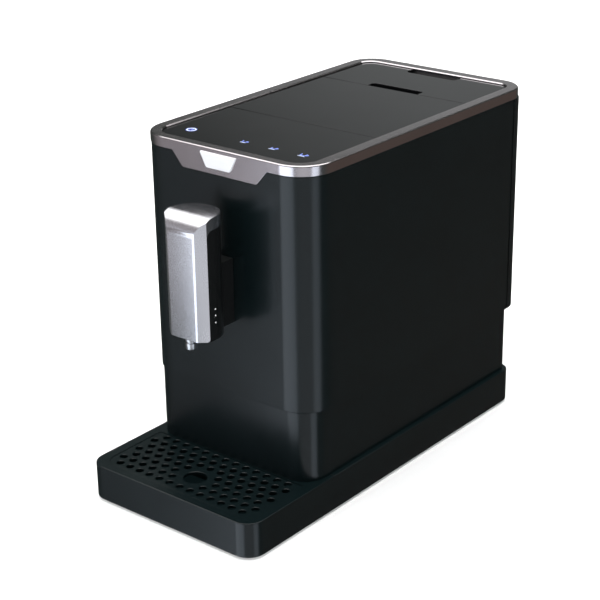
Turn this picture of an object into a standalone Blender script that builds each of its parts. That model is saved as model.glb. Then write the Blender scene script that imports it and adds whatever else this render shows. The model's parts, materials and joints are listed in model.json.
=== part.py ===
"""Slim bean-to-cup hot coffee machine, modelled as an assembly of separate pieces.

Metres, +Z up.  X is the width, the front of the machine faces -Y, and Z = 0 is
the surface that the machine stands on.  The origin is under the middle of the
whole machine, at the bottom of its feet.
"""
import math

import bmesh
import bpy
from mathutils import Matrix, Vector

# ---------------------------------------------------------------- driving sizes
WIDTH = 0.180            # over the metal rim
BODY_DEPTH = 0.312       # metal rim, front to back
TRAY_REACH = 0.077       # drip tray in front of the body
HEIGHT = 0.302           # underside of the base to the top of the rim
FOOT_HEIGHT = 0.002
FOOT_RADIUS = 0.009
FOOT_INSET = 0.018       # feet inside the base's sides, and behind or in front of its ends
FOOT_FRONT = 0.016
FOOT_REAR = 0.024
BASE_HEIGHT = 0.031
LOWER_HEIGHT = 0.063     # set-back lower body between the base and the upper covers

GAP = 0.0003             # clearance between pieces that touch
SEAM = 0.0003            # visible joint line between two covers
WALL = 0.0025            # moulded covers
FLOOR = 0.0025           # floor of the base

RIM_HEIGHT = 0.0087
RIM_SIDE = 0.011         # width of the rim's top face at the sides
RIM_FRONT = 0.0096
RIM_BACK = 0.012
RIM_PROUD = 0.0006       # rim in front of the front cover
RIM_RADIUS = 0.029
RIM_BACK_RADIUS = 0.025
OPENING_RADIUS = 0.017   # corners of the opening that the rim frames
OPENING_BACK_RADIUS = 0.012
APRON_TOP = 0.0494       # half widths and drop of the rim's front apron
APRON_BOTTOM = 0.0389
APRON_DROP = 0.0124
APRON_SINK = 0.0012      # how far the apron is let into the front cover
BADGE_TOP = 0.0188
BADGE_BOTTOM = 0.0124
BADGE_HEIGHT = 0.0125
BADGE_DEPTH = 0.0010
BADGE_DROP = 0.0012      # badge's middle below the rim's bottom

COVER_INSET = 0.0005     # upper covers inside the rim at the sides
COVER_BACK_INSET = 0.001
COVER_RADIUS = 0.0285
COVER_BACK_RADIUS = 0.020
SIDE_SEAM = 0.035        # front cover's side seam behind its face
REAR_SEAM = 0.022        # rear cover's seam in front of the back
LOWER_INSET = 0.0045     # lower body inside the base at the sides
LOWER_FRONT_INSET = 0.0015
LOWER_SEAM = 0.0295      # drawer's seam behind the front face
LOWER_RADIUS = 0.022
LOWER_BACK_INSET = 0.010
LOWER_BACK_RADIUS = 0.014
LOWER_LAP = 0.005        # lower shell behind the upper covers
BASE_RADIUS = 0.016
FLANGE = 0.0025          # turned-in bottom edge of the upper covers
SLOT_COUNT = 7           # cooling slots in the rear cover
SLOT_PITCH = 0.008
SLOT_HALF = 0.030
SLOT_HEIGHT = 0.003
SCREW_HEAD = 0.0032
SCREW_SHANK = 0.0015
SCREW_LENGTH = 0.008
SCREW_SINK = 0.0006
SCREW_EDGE = 0.014       # screws from the cover's bottom and top edges

GRILLE_MARGIN = 0.010    # tray border round the drip grille
GRILLE_FRONT_MARGIN = 0.009
GRILLE_RADIUS = 0.012
GRILLE_THICKNESS = 0.0025
GRILLE_SINK = 0.0003
GRILLE_LEDGE = 0.004
GRILLE_BACK = 0.0005     # grille's back edge behind the front face
GRILLE_BACK_RADIUS = 0.001
HOLE_RADIUS = 0.0034
HOLE_PITCH = 0.0113
HOLE_ROW = 0.00945
HOLE_FIRST_ROW = 0.016   # first row behind the tray's front edge
HOLE_ROWS = 7
HOLE_MARGIN = 0.001      # least metal between the holes and an edge or the drain
DRAIN_RADIUS = 0.010
SPOUT_Y = -0.042         # middle of the drain, in front of the face
WELL_FLOOR = 0.003

RUNNER_GAP = 0.0003
RUNNER_HALF = 0.0747     # half width of the drawer's tongue
RUNNER_WALL = 0.0032
RUNNER_BACK = 0.098      # end of the tongue behind the front face
BIN_HALF = 0.0715
BIN_FRONT = 0.0065
BIN_BACK = 0.095
BIN_HEIGHT = 0.0567
BIN_WALL = 0.002
BIN_RADIUS = 0.018
BIN_BACK_RADIUS = 0.006

FRAME_WALL = 0.003
FRAME_FRONT = 0.036
BREW_BACK = 0.100        # brew cell's back, behind the front face
MIDDLE_BACK = 0.228      # grinder cell's back
BREW_SHELF = 0.110       # heights of the shelves above the table
MIDDLE_SHELF = 0.150
TANK_SHELF = 0.143
SHELF = 0.003

PANEL_DROP = 0.0015      # glass panels below the rim's top
PANEL_THICKNESS = 0.003
PANEL_GAP = 0.0004
DECK_THICKNESS = 0.004
TOUCH_BACK = 0.103       # touch panel ends behind the front face
BEAN_BACK = 0.230        # bean lid ends behind the front face
BOARD_HALF = 0.068
BOARD_FRONT = 0.018
BOARD_BACK = 0.040
GRIP_HALF = 0.027        # finger recesses in the tank lid
GRIP_FRONT_LENGTH = 0.010
GRIP_BACK_LENGTH = 0.012
GRIP_UNDERCUT = 0.004
GRIP_FRONT_RADIUS = 0.004
GRIP_BACK_RADIUS = 0.005
SEAL_HEIGHT = 0.003

SPOUT_HALF = 0.022
SPOUT_NOSE = 0.014       # half width of the hood's flat front
SPOUT_REACH = 0.048      # hood's front, in front of the front cover
SPOUT_SHOULDER = 0.041
SPOUT_CENTRE = 0.033     # centre of the spout's round back
SPOUT_TOP = 0.262        # heights above the table
SPOUT_CAP = 0.252
SPOUT_BOTTOM = 0.1596
HOOD_BOTTOM = 0.1595
HOOD_BEND = 0.010
NECK_HALF = 0.0113
NECK_FRONT = 0.020
NECK_BOTTOM = 0.161
NECK_TOP = 0.216
NOZZLE_RADIUS = 0.00475
NOZZLE_BORE = 0.003
NOZZLE_BOTTOM = 0.1485
NOZZLE_Y = -0.040
OUTLET_BACK = 0.010      # slider's outlet behind the nozzle

HOPPER_LEFT = 0.067      # hopper mouth, left and right of the middle
HOPPER_RIGHT = 0.038
HOPPER_FRONT = 0.109     # behind the front face
HOPPER_BACK = 0.224
HOPPER_RADIUS = 0.012
HOPPER_WALL = 0.002
HOPPER_SKIRT = 0.272     # height where the straight mouth turns into the funnel
THROAT_LEDGE = 0.005     # throat inside the burrs
THROAT_BOTTOM = 0.2415
GRINDER_Y = 0.166        # behind the front face
GRINDER_RADIUS = 0.034
GRINDER_TOP = 0.240
GRINDER_BOTTOM = 0.190
GRINDER_FLOOR = 0.003
GRINDER_WALL = 0.003
BURR_GAP = 0.0025        # round the burrs, inside the housing
BURR_SEAT = 0.017        # lower burr above the housing's bottom
BURR_EDGE = 0.004
BURR_HEIGHT = 0.012
BURR_TIP = 0.010         # radius at the top of the lower burr
BURR_MOUTH = 0.018       # radius of the upper burr's bore
BURR_OVERLAP = 0.008     # upper burr's foot above the lower burr's seat
SKIRT_RISE = 0.017       # adjusting ring's skirt above the lower burr's seat
MOTOR_RADIUS = 0.024
SHAFT_RADIUS = 0.004
SHAFT_GAP = 0.0003
SHAFT_DEPTH = 0.020      # shaft inside the motor
RING_TEETH = 48
RING_PITCH_RADIUS = 0.036
KNOB_TEETH = 24
GEAR_HEIGHT = 0.005
TOOTH_HEIGHT = 0.0022
KNOB_RADIUS = 0.0115
KNOB_HEIGHT = 0.007
KNOB_BOSS = 0.014
KNOB_BOSS_DEPTH = 0.007
KNOB_STEM = 0.004
KNOB_PLATE = 0.003
KNOB_GRIP_HALF = 0.002
KNOB_GRIP_INSET = 0.001

BREW_Y = 0.069
CHAMBER_RADIUS = 0.026
CHAMBER_BORE = 0.023
CHAMBER_TOP = 0.180
PISTON_GAP = 0.0004
PISTON_BOTTOM = 0.188
PISTON_HEIGHT = 0.016
ROD_RADIUS = 0.006
YOKE_BOTTOM = 0.228
YOKE_HEIGHT = 0.012
YOKE_HALF = 0.008
YOKE_END = 0.004         # yoke beyond the drive screw
GEAR_CENTRES = 0.0234    # drive screw to brew motor
SCREW_RADIUS = 0.005
GEAR_BOTTOM = 0.262
BREW_MOTOR_RADIUS = 0.012
BREW_MOTOR_HEIGHT = 0.060
SCREW_TEETH = 26
PINION_TEETH = 13

TANK_GAP = 0.0006
TANK_WALL = 0.0022
TANK_FLOOR = 0.0025
TANK_RADIUS = 0.010
TANK_BOTTOM = 0.0055     # tank's floor above its shelf
VALVE_DISC = 0.008
VALVE_STEM = 0.003
VALVE_HEIGHT = 0.003
VALVE_DROP = 0.0017      # stem below the tank's floor
SEAT_RADIUS = 0.016
SEAT_EDGE = 0.0025
SEAT_TOP_RADIUS = 0.0054
SEAT_BORE = 0.003
SEAT_TOP_BORE = 0.0022

INLET_X = -0.044
INLET_WIDTH = 0.028
INLET_HEIGHT = 0.020
INLET_Z = 0.056
INLET_DEPTH = 0.022
INLET_WALL = 0.0025
INLET_FLOOR = 0.003
SOCKET_PROUD = 0.0008    # socket and switch beyond the lower body's back
SWITCH_X = -0.012
SWITCH_WIDTH = 0.014
SWITCH_DEPTH = 0.016
SWITCH_POCKET = 0.012
SWITCH_WALL = 0.0018
SWITCH_TILT = 8.0        # degrees to each side
ROCKER_SINK = 0.004      # pivot inside the housing's face
ROCKER_END_GAP = 0.0030
ROCKER_BACK = 0.003      # rocker's back, ends and crest from its pivot
ROCKER_EDGE = 0.002
ROCKER_CREST = 0.0032

CHUTE_HALF = 0.010
CHUTE_WALL = 0.0015
CHUTE_HEIGHT = 0.014
CHUTE_LIFT = 0.001       # chute above the grinder's floor
CHUTE_CLEARANCE = 0.002  # chute's mouth behind the piston
CHUTE_HOLE_TOP = 0.034   # opening above the grinder's bottom
PUMP_RADIUS = 0.017
PUMP_MARGIN = 0.004      # pump from the frame's wall and the base
SADDLE_END = 0.010
SADDLE_HALF = 0.012
PUMP_LENGTH = 0.060
PUMP_X = -0.035          # middle of the pump
PUMP_NOZZLE = 0.012
HOSE_X = 0.020
HOSE_RADIUS = 0.004
HOSE_RISE = 0.030        # start of the hose's lower bend, and length of its legs
HOSE_LEG = 0.022
HOSE_PASS = 0.020        # frame's opening above the pump
HEATER_LEFT = -0.070
HEATER_RIGHT = -0.014
HEATER_FRONT = 0.112     # behind the front face
HEATER_BACK = 0.172
HEATER_HEIGHT = 0.080
HEATER_RADIUS = 0.008
GROOVE_COUNT = 4
GROOVE_DEPTH = 0.003
CIRCUIT_FRONT = 0.112
CIRCUIT_BACK = 0.215
CIRCUIT_HEIGHT = 0.090
CIRCUIT_THICKNESS = 0.0016
CIRCUIT_PARTS = (        # near end, far end, bottom and depth on the main board
    (0.012, 0.030, 0.020, 0.018),
    (0.040, 0.058, 0.045, 0.014),
    (0.070, 0.095, 0.015, 0.010),
)
CIRCUIT_PART_HEIGHT = 0.020

# ---------------------------------------------------------------- derived places
FRONT = -(BODY_DEPTH + TRAY_REACH) / 2 + TRAY_REACH     # face of the front cover
BACK = FRONT + BODY_DEPTH                               # back of the rim
TRAY_FRONT = FRONT - TRAY_REACH
HALF = WIDTH / 2
BASE_TOP = FOOT_HEIGHT + BASE_HEIGHT
UPPER_BOTTOM = BASE_TOP + LOWER_HEIGHT
TOP = FOOT_HEIGHT + HEIGHT
RIM_BOTTOM = TOP - RIM_HEIGHT
COVER_TOP = RIM_BOTTOM - GAP
PANEL_TOP = TOP - PANEL_DROP
PANEL_BOTTOM = PANEL_TOP - PANEL_THICKNESS
DECK_TOP = PANEL_BOTTOM - GAP
DECK_BOTTOM = DECK_TOP - DECK_THICKNESS
FRAME_TOP = DECK_BOTTOM - GAP
OPENING_HALF = HALF - RIM_SIDE
OPENING_FRONT = FRONT - RIM_PROUD + RIM_FRONT
OPENING_BACK = BACK - RIM_BACK
FRAME_HALF = OPENING_HALF - GAP
FRAME_BACK = BODY_DEPTH - LOWER_BACK_INSET - WALL - GAP
CELL_HALF = FRAME_HALF - FRAME_WALL
COVER_HALF = HALF - COVER_INSET
COVER_BACK = BACK - COVER_BACK_INSET
LOWER_HALF = HALF - LOWER_INSET
LOWER_BACK = BACK - LOWER_BACK_INSET
GRILLE_BOTTOM = BASE_TOP - GRILLE_SINK - GRILLE_THICKNESS
TANK_CELL_FRONT = FRONT + MIDDLE_BACK + FRAME_WALL
TANK_CELL_BACK = FRONT + FRAME_BACK - FRAME_WALL
TANK_MIDDLE = (TANK_CELL_FRONT + TANK_CELL_BACK) / 2
BREW_MIDDLE = FRONT + BREW_Y
GRINDER_MIDDLE = FRONT + GRINDER_Y
BURR_RADIUS = GRINDER_RADIUS - GRINDER_WALL - BURR_GAP
BURR_LOW = GRINDER_BOTTOM + BURR_SEAT
THROAT_RADIUS = BURR_RADIUS - THROAT_LEDGE
KNOB_X = RING_PITCH_RADIUS * (1 + KNOB_TEETH / RING_TEETH)
CHUTE_LOW_Z = CHAMBER_TOP + GAP
CHUTE_TOP_Z = GRINDER_BOTTOM + GRINDER_FLOOR + CHUTE_LIFT
PISTON_RADIUS = CHAMBER_BORE - PISTON_GAP
MOTOR_X = CELL_HALF - GAP - BREW_MOTOR_RADIUS
SCREW_X = MOTOR_X - GEAR_CENTRES
SOCKET_FACE = LOWER_BACK + SOCKET_PROUD


# ---------------------------------------------------------------- materials
MATERIALS = {
    "satin_black": ((0.010, 0.011, 0.013), 0.0, 0.42),
    "dark_plastic": ((0.020, 0.021, 0.023), 0.0, 0.55),
    "glass_black": ((0.006, 0.006, 0.007), 0.0, 0.06),
    "satin_metal": ((0.62, 0.62, 0.65), 1.0, 0.30),
    "silver_paint": ((0.60, 0.59, 0.63), 0.75, 0.34),
    "badge_silver": ((0.80, 0.80, 0.82), 0.6, 0.30),
    "rubber": ((0.02, 0.02, 0.02), 0.0, 0.80),
    "frame_plastic": ((0.10, 0.10, 0.11), 0.0, 0.60),
    "smoke_plastic": ((0.12, 0.13, 0.14), 0.0, 0.20),
    "steel": ((0.55, 0.55, 0.56), 1.0, 0.30),
    "cast_alloy": ((0.45, 0.45, 0.46), 0.9, 0.50),
    "brass": ((0.60, 0.45, 0.18), 1.0, 0.35),
    "white_plastic": ((0.70, 0.70, 0.68), 0.0, 0.45),
    "circuit_green": ((0.03, 0.16, 0.07), 0.0, 0.50),
    "silicone": ((0.55, 0.53, 0.50), 0.0, 0.60),
}
MADE = {}                # materials by name, filled when the machine is made


def make_material(name):
    """Principled material in the colour, metallic value and roughness of its name."""
    colour, metallic, roughness = MATERIALS[name]
    material = bpy.data.materials.new(name)
    material.use_nodes = True
    shader = material.node_tree.nodes["Principled BSDF"]
    shader.inputs["Base Color"].default_value = (*colour, 1.0)
    shader.inputs["Metallic"].default_value = metallic
    shader.inputs["Roughness"].default_value = roughness
    material.diffuse_color = (*colour, 1.0)
    return material


# ---------------------------------------------------------------- outlines
def arc(cx, cy, radius, start, end, steps):
    """Points along an arc; angles in degrees, both ends included."""
    points = []
    for i in range(steps + 1):
        angle = math.radians(start + (end - start) * i / steps)
        points.append((cx + radius * math.cos(angle), cy + radius * math.sin(angle)))
    return points


def circle(cx, cy, radius, steps=24):
    return arc(cx, cy, radius, 0, 360, steps)[:-1]


def rounded(x0, x1, y0, y1, front_radius=0.0, back_radius=0.0, steps=6):
    """Rectangle with rounded front (low y) and back corners, counter-clockwise."""
    points = []
    for cx, cy, radius, start in (
        (x0, y0, front_radius, 180),
        (x1, y0, front_radius, 270),
        (x1, y1, back_radius, 0),
        (x0, y1, back_radius, 90),
    ):
        if radius <= 0:
            points.append((cx, cy))
            continue
        mid_x = cx + (radius if cx == x0 else -radius)
        mid_y = cy + (radius if cy == y0 else -radius)
        points += arc(mid_x, mid_y, radius, start, start + 90, steps)
    return points


def front_path(half, y_front, y_end, radius, steps=7):
    """Open U from the left side, round the front, to the right side."""
    left = arc(-half + radius, y_front + radius, radius, 180, 270, steps)
    right = arc(half - radius, y_front + radius, radius, 270, 360, steps)
    return [(-half, y_end)] + left + right + [(half, y_end)]


def back_path(half, y_start, y_back, radius, steps=6):
    """Open U from the right side, round the back, to the left side."""
    right = arc(half - radius, y_back - radius, radius, 0, 90, steps)
    left = arc(-half + radius, y_back - radius, radius, 90, 180, steps)
    return [(half, y_start)] + right + left + [(-half, y_start)]


def gear_outline(cx, cy, pitch_radius, teeth, phase):
    """Trapezoid teeth that fill less than half of each pitch; phase turns them by a share of a tooth."""
    points = []
    pitch = 2 * math.pi / teeth
    for i in range(teeth):
        middle = pitch * (i + phase)
        for share, height in ((-0.28, -1), (-0.13, 1), (0.13, 1), (0.28, -1)):
            angle = middle + share * pitch
            radius = pitch_radius + height * TOOTH_HEIGHT / 2
            points.append((cx + radius * math.cos(angle), cy + radius * math.sin(angle)))
    return points


# ---------------------------------------------------------------- solids
def add_object(name, mesh, material=None, pivot=(0, 0, 0)):
    """Put a mesh drawn in world places into the scene, with its origin at the pivot."""
    mesh.transform(Matrix.Translation(-Vector(pivot)))
    obj = bpy.data.objects.new(name, mesh)
    obj.location = pivot
    bpy.context.scene.collection.objects.link(obj)
    if material:
        mesh.materials.append(MADE[material])
    return obj


def finish_mesh(name, bm, smooth=True):
    bmesh.ops.remove_doubles(bm, verts=bm.verts, dist=1e-7)
    bmesh.ops.recalc_face_normals(bm, faces=bm.faces)
    mesh = bpy.data.meshes.new(name)
    bm.to_mesh(mesh)
    bm.free()
    if smooth:
        mesh.shade_smooth()
        mesh.set_sharp_from_angle(angle=math.radians(32))
    return mesh


AXES = {
    "z": lambda a, b, h: (a, b, h),
    "x": lambda a, b, h: (h, a, b),
    "y": lambda a, b, h: (a, h, b),
}


def prism(name, outline, low, high, material=None, along="z", pivot=(0, 0, 0)):
    """Closed outline pushed from low to high along an axis."""
    place = AXES[along]
    bm = bmesh.new()
    bottom = [bm.verts.new(place(a, b, low)) for a, b in outline]
    top = [bm.verts.new(place(a, b, high)) for a, b in outline]
    bm.faces.new(bottom)
    bm.faces.new(top)
    count = len(outline)
    for i in range(count):
        j = (i + 1) % count
        bm.faces.new((bottom[i], bottom[j], top[j], top[i]))
    return add_object(name, finish_mesh(name, bm), material, pivot)


def box(name, x, y, z, material=None, pivot=(0, 0, 0)):
    """Block between the pairs of limits x, y and z."""
    return prism(name, rounded(x[0], x[1], y[0], y[1]), z[0], z[1], material, "z", pivot)


def turned(name, profile, centre, material=None, along="z", steps=24, pivot=(0, 0, 0), solid=False):
    """(radius, height) profile turned about an axis: a ring, or a solid with flat ends."""
    place = AXES[along]
    bm = bmesh.new()
    rings = []
    for radius, height in profile:
        ring = []
        for i in range(steps):
            angle = 2 * math.pi * i / steps
            spot = (centre[0] + radius * math.cos(angle), centre[1] + radius * math.sin(angle))
            ring.append(bm.verts.new(place(*spot, height)))
        rings.append(ring)
    if solid:
        bm.faces.new(rings[0])
        bm.faces.new(rings[-1])
    for k in range(len(rings) - (1 if solid else 0)):
        ring, after = rings[k], rings[(k + 1) % len(rings)]
        for i in range(steps):
            j = (i + 1) % steps
            bm.faces.new((ring[i], ring[j], after[j], after[i]))
    return add_object(name, finish_mesh(name, bm), material, pivot)


def rod(name, centre, radius, low, high, material=None, along="z", steps=24, pivot=(0, 0, 0)):
    return prism(name, circle(centre[0], centre[1], radius, steps), low, high, material, along, pivot)


def lofted(name, loops, material=None, pivot=(0, 0, 0)):
    """Skin over (outline, height) loops of equal length, closed from the last to the first."""
    bm = bmesh.new()
    rings = []
    for outline, height in loops:
        rings.append([bm.verts.new((a, b, height)) for a, b in outline])
    for k in range(len(rings)):
        ring, after = rings[k], rings[(k + 1) % len(rings)]
        for i in range(len(ring)):
            j = (i + 1) % len(ring)
            bm.faces.new((ring[i], ring[j], after[j], after[i]))
    return add_object(name, finish_mesh(name, bm), material, pivot)


def boolean(target, tool, operation):
    modifier = target.modifiers.new(tool.name, "BOOLEAN")
    modifier.operation = operation
    modifier.solver = "EXACT"
    modifier.object = tool
    tool.hide_render = True
    tool.display_type = "WIRE"
    return target


def cut(target, *tools):
    for tool in tools:
        boolean(target, tool, "DIFFERENCE")
    return target


def join(target, *tools):
    for tool in tools:
        boolean(target, tool, "UNION")
    return target


def strip(name, outer, inner, low, high, material=None, pivot=(0, 0, 0)):
    """Wall between an outer and an inner open path."""
    return prism(name, outer + inner[::-1], low, high, material, "z", pivot)


def behind(distance):
    """Y of a place this far behind the face of the front cover."""
    return FRONT + distance


def slide_or_pivot(name, place):
    """Empty on a joint, which the moving pieces hang from."""
    empty = bpy.data.objects.new(name, None)
    empty.empty_display_size = 0.01
    empty.location = place
    bpy.context.scene.collection.objects.link(empty)
    return empty


def carry(empty, *pieces):
    """Hang pieces on an empty without moving them: locations stay world places."""
    for piece in pieces:
        piece.parent = empty
        piece.matrix_parent_inverse = Matrix.Translation(-empty.location)


# ---------------------------------------------------------------- base and feet
def make_base():
    """Rear base: a tray with a top ledge that the lower body and the frame stand on."""
    seam = behind(LOWER_SEAM + SEAM)
    base = prism(
        "base_housing",
        rounded(-HALF, HALF, seam, LOWER_BACK, 0, LOWER_BACK_RADIUS),
        FOOT_HEIGHT, BASE_TOP, "satin_black",
    )
    hollow = prism(
        "base_hollow",
        rounded(-HALF + WALL, HALF - WALL, seam + WALL, LOWER_BACK - WALL, 0,
                LOWER_BACK_RADIUS - WALL),
        FOOT_HEIGHT + FLOOR, BASE_TOP - WALL,
    )
    slot_half = RUNNER_HALF + RUNNER_GAP
    slot_back = behind(RUNNER_BACK) + 10 * RUNNER_GAP
    slot = box("base_slot", (-slot_half, slot_half), (seam - WALL, slot_back),
               (FOOT_HEIGHT + FLOOR, BASE_TOP + WALL))
    cut(base, hollow, slot)
    foot_x = HALF - FOOT_INSET
    for side, x in (("left", -foot_x), ("right", foot_x)):
        for end, y in (("front", seam + FOOT_FRONT), ("rear", LOWER_BACK - FOOT_REAR)):
            rod(f"foot_{end}_{side}", (x, y), FOOT_RADIUS, 0, FOOT_HEIGHT - GAP, "rubber", steps=20)


def make_lower_shell():
    """U-shaped lower body, with the mains socket and switch openings at the back."""
    start = behind(LOWER_SEAM + SEAM)
    inner = back_path(LOWER_HALF - WALL, start, LOWER_BACK - WALL, LOWER_BACK_RADIUS - WALL)
    shell = strip(
        "lower_shell",
        back_path(LOWER_HALF, start, LOWER_BACK, LOWER_BACK_RADIUS), inner,
        BASE_TOP + GAP, UPPER_BOTTOM + LOWER_LAP, "satin_black",
    )
    cut(shell, *socket_openings("shell", LOWER_BACK - 2 * WALL, LOWER_BACK + WALL))


def socket_openings(owner, y0, y1):
    """Cutters for the mains socket and the switch, with their clearance."""
    openings = []
    for name, x, width in (("inlet", INLET_X, INLET_WIDTH), ("switch", SWITCH_X, SWITCH_WIDTH)):
        half = width / 2 + GAP
        openings.append(box(f"{owner}_{name}_opening", (x - half, x + half), (y0, y1),
                            (INLET_Z - INLET_HEIGHT / 2 - GAP, INLET_Z + INLET_HEIGHT / 2 + GAP)))
    return openings


# ---------------------------------------------------------------- upper covers
def make_front_cover():
    """Front cover with rounded corners, a turned-in bottom edge and the spout's opening."""
    end = behind(SIDE_SEAM) - SEAM / 2
    inner = front_path(COVER_HALF - WALL, FRONT + WALL, end, COVER_RADIUS - WALL)
    outer = front_path(COVER_HALF, FRONT, end, COVER_RADIUS)
    cover = strip("front_cover", outer, inner, UPPER_BOTTOM, COVER_TOP, "satin_black")
    lower = LOWER_HALF + GAP
    lip = strip(
        "front_cover_lip",
        outer,
        front_path(lower, FRONT + COVER_HALF - lower, end, COVER_RADIUS - (COVER_HALF - lower)),
        UPPER_BOTTOM, UPPER_BOTTOM + FLANGE,
    )
    join(cover, lip)
    apron_pocket = apron_solid("apron_pocket", FRONT - 2 * WALL, FRONT + APRON_SINK + GAP, GAP)
    neck_hole = box("neck_hole", (-NECK_HALF - GAP, NECK_HALF + GAP), (FRONT - WALL, FRONT + 2 * WALL),
                    (NECK_BOTTOM - GAP, NECK_TOP + GAP))
    cut(cover, apron_pocket, neck_hole)


def make_side_covers():
    """Flat upper side covers with a turned-in bottom edge."""
    low, high = behind(SIDE_SEAM) + SEAM / 2, BACK - REAR_SEAM - SEAM / 2
    lip = LOWER_HALF + GAP
    for name, side in (("left_side_cover", -1), ("right_side_cover", 1)):
        section = [
            (side * COVER_HALF, UPPER_BOTTOM),
            (side * COVER_HALF, COVER_TOP),
            (side * (COVER_HALF - WALL), COVER_TOP),
            (side * (COVER_HALF - WALL), UPPER_BOTTOM + FLANGE),
            (side * lip, UPPER_BOTTOM + FLANGE),
            (side * lip, UPPER_BOTTOM),
        ]
        prism(name, section, low, high, "satin_black", along="y")


def make_rear_cover():
    """Rear cover with cooling slots and four screw holes."""
    start = BACK - REAR_SEAM + SEAM / 2
    outer = back_path(COVER_HALF, start, COVER_BACK, COVER_BACK_RADIUS)
    inner = back_path(COVER_HALF - WALL, start, COVER_BACK - WALL, COVER_BACK_RADIUS - WALL)
    cover = strip("rear_cover", outer, inner, UPPER_BOTTOM, COVER_TOP, "satin_black")
    lip = strip(
        "rear_cover_lip", outer,
        back_path(LOWER_HALF + GAP, start, LOWER_BACK + GAP, LOWER_BACK_RADIUS + GAP),
        UPPER_BOTTOM, UPPER_BOTTOM + FLANGE,
    )
    join(cover, lip)
    middle = (UPPER_BOTTOM + COVER_TOP) / 2
    for i in range(SLOT_COUNT):
        z = middle + (i - (SLOT_COUNT - 1) / 2) * SLOT_PITCH
        slot = box(f"cooling_slot_{i}", (-SLOT_HALF, SLOT_HALF), (COVER_BACK - 2 * WALL, COVER_BACK + WALL),
                   (z - SLOT_HEIGHT / 2, z + SLOT_HEIGHT / 2))
        cut(cover, slot)
    screw_x = COVER_HALF - COVER_BACK_RADIUS - 2 * SCREW_HEAD
    for side, x in (("left", -screw_x), ("right", screw_x)):
        for end, z in (("lower", UPPER_BOTTOM + SCREW_EDGE), ("upper", COVER_TOP - SCREW_EDGE)):
            cut(cover, rod(f"screw_hole_{end}_{side}", (x, z), SCREW_HEAD + GAP, COVER_BACK - 2 * WALL,
                           COVER_BACK + WALL, along="y", steps=16))
            turned(
                f"cover_screw_{end}_{side}",
                [(SCREW_HEAD, COVER_BACK - SCREW_SINK), (SCREW_HEAD, COVER_BACK - WALL),
                 (SCREW_SHANK, COVER_BACK - WALL), (SCREW_SHANK, COVER_BACK - SCREW_LENGTH)],
                (x, z), "steel", along="y", steps=16, solid=True,
            )


# ---------------------------------------------------------------- rim, badge and deck
def apron_solid(name, y_front, y_back, grow=0.0, material=None):
    """Trapezoid that hangs from the front of the rim."""
    bottom = RIM_BOTTOM - APRON_DROP - grow
    top = RIM_BOTTOM + RIM_HEIGHT / 2
    slope = (APRON_TOP - APRON_BOTTOM) / APRON_DROP
    top_half = APRON_TOP + slope * (top - RIM_BOTTOM) + grow
    bottom_half = APRON_BOTTOM - slope * grow + 2 * grow
    outline = [(-bottom_half, bottom), (bottom_half, bottom), (top_half, top), (-top_half, top)]
    return prism(name, outline, y_front, y_back, material, along="y")


def make_rim():
    """Metal frame round the top, with its apron and the blank badge."""
    face = FRONT - RIM_PROUD
    rim = prism("top_rim", rounded(-HALF, HALF, face, BACK, RIM_RADIUS, RIM_BACK_RADIUS, 8),
                RIM_BOTTOM, TOP, "satin_metal")
    opening = prism(
        "rim_opening",
        rounded(-OPENING_HALF, OPENING_HALF, OPENING_FRONT, OPENING_BACK, OPENING_RADIUS,
                OPENING_BACK_RADIUS),
        RIM_BOTTOM - WALL, TOP + WALL,
    )
    apron = apron_solid("rim_apron", face, FRONT + APRON_SINK)
    cut(join(rim, apron), opening)
    middle = RIM_BOTTOM - BADGE_DROP
    outline = [
        (-BADGE_BOTTOM, middle - BADGE_HEIGHT / 2), (BADGE_BOTTOM, middle - BADGE_HEIGHT / 2),
        (BADGE_TOP, middle + BADGE_HEIGHT / 2), (-BADGE_TOP, middle + BADGE_HEIGHT / 2),
    ]
    prism("badge", outline, face - GAP - BADGE_DEPTH, face - GAP, "badge_silver", along="y")


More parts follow.
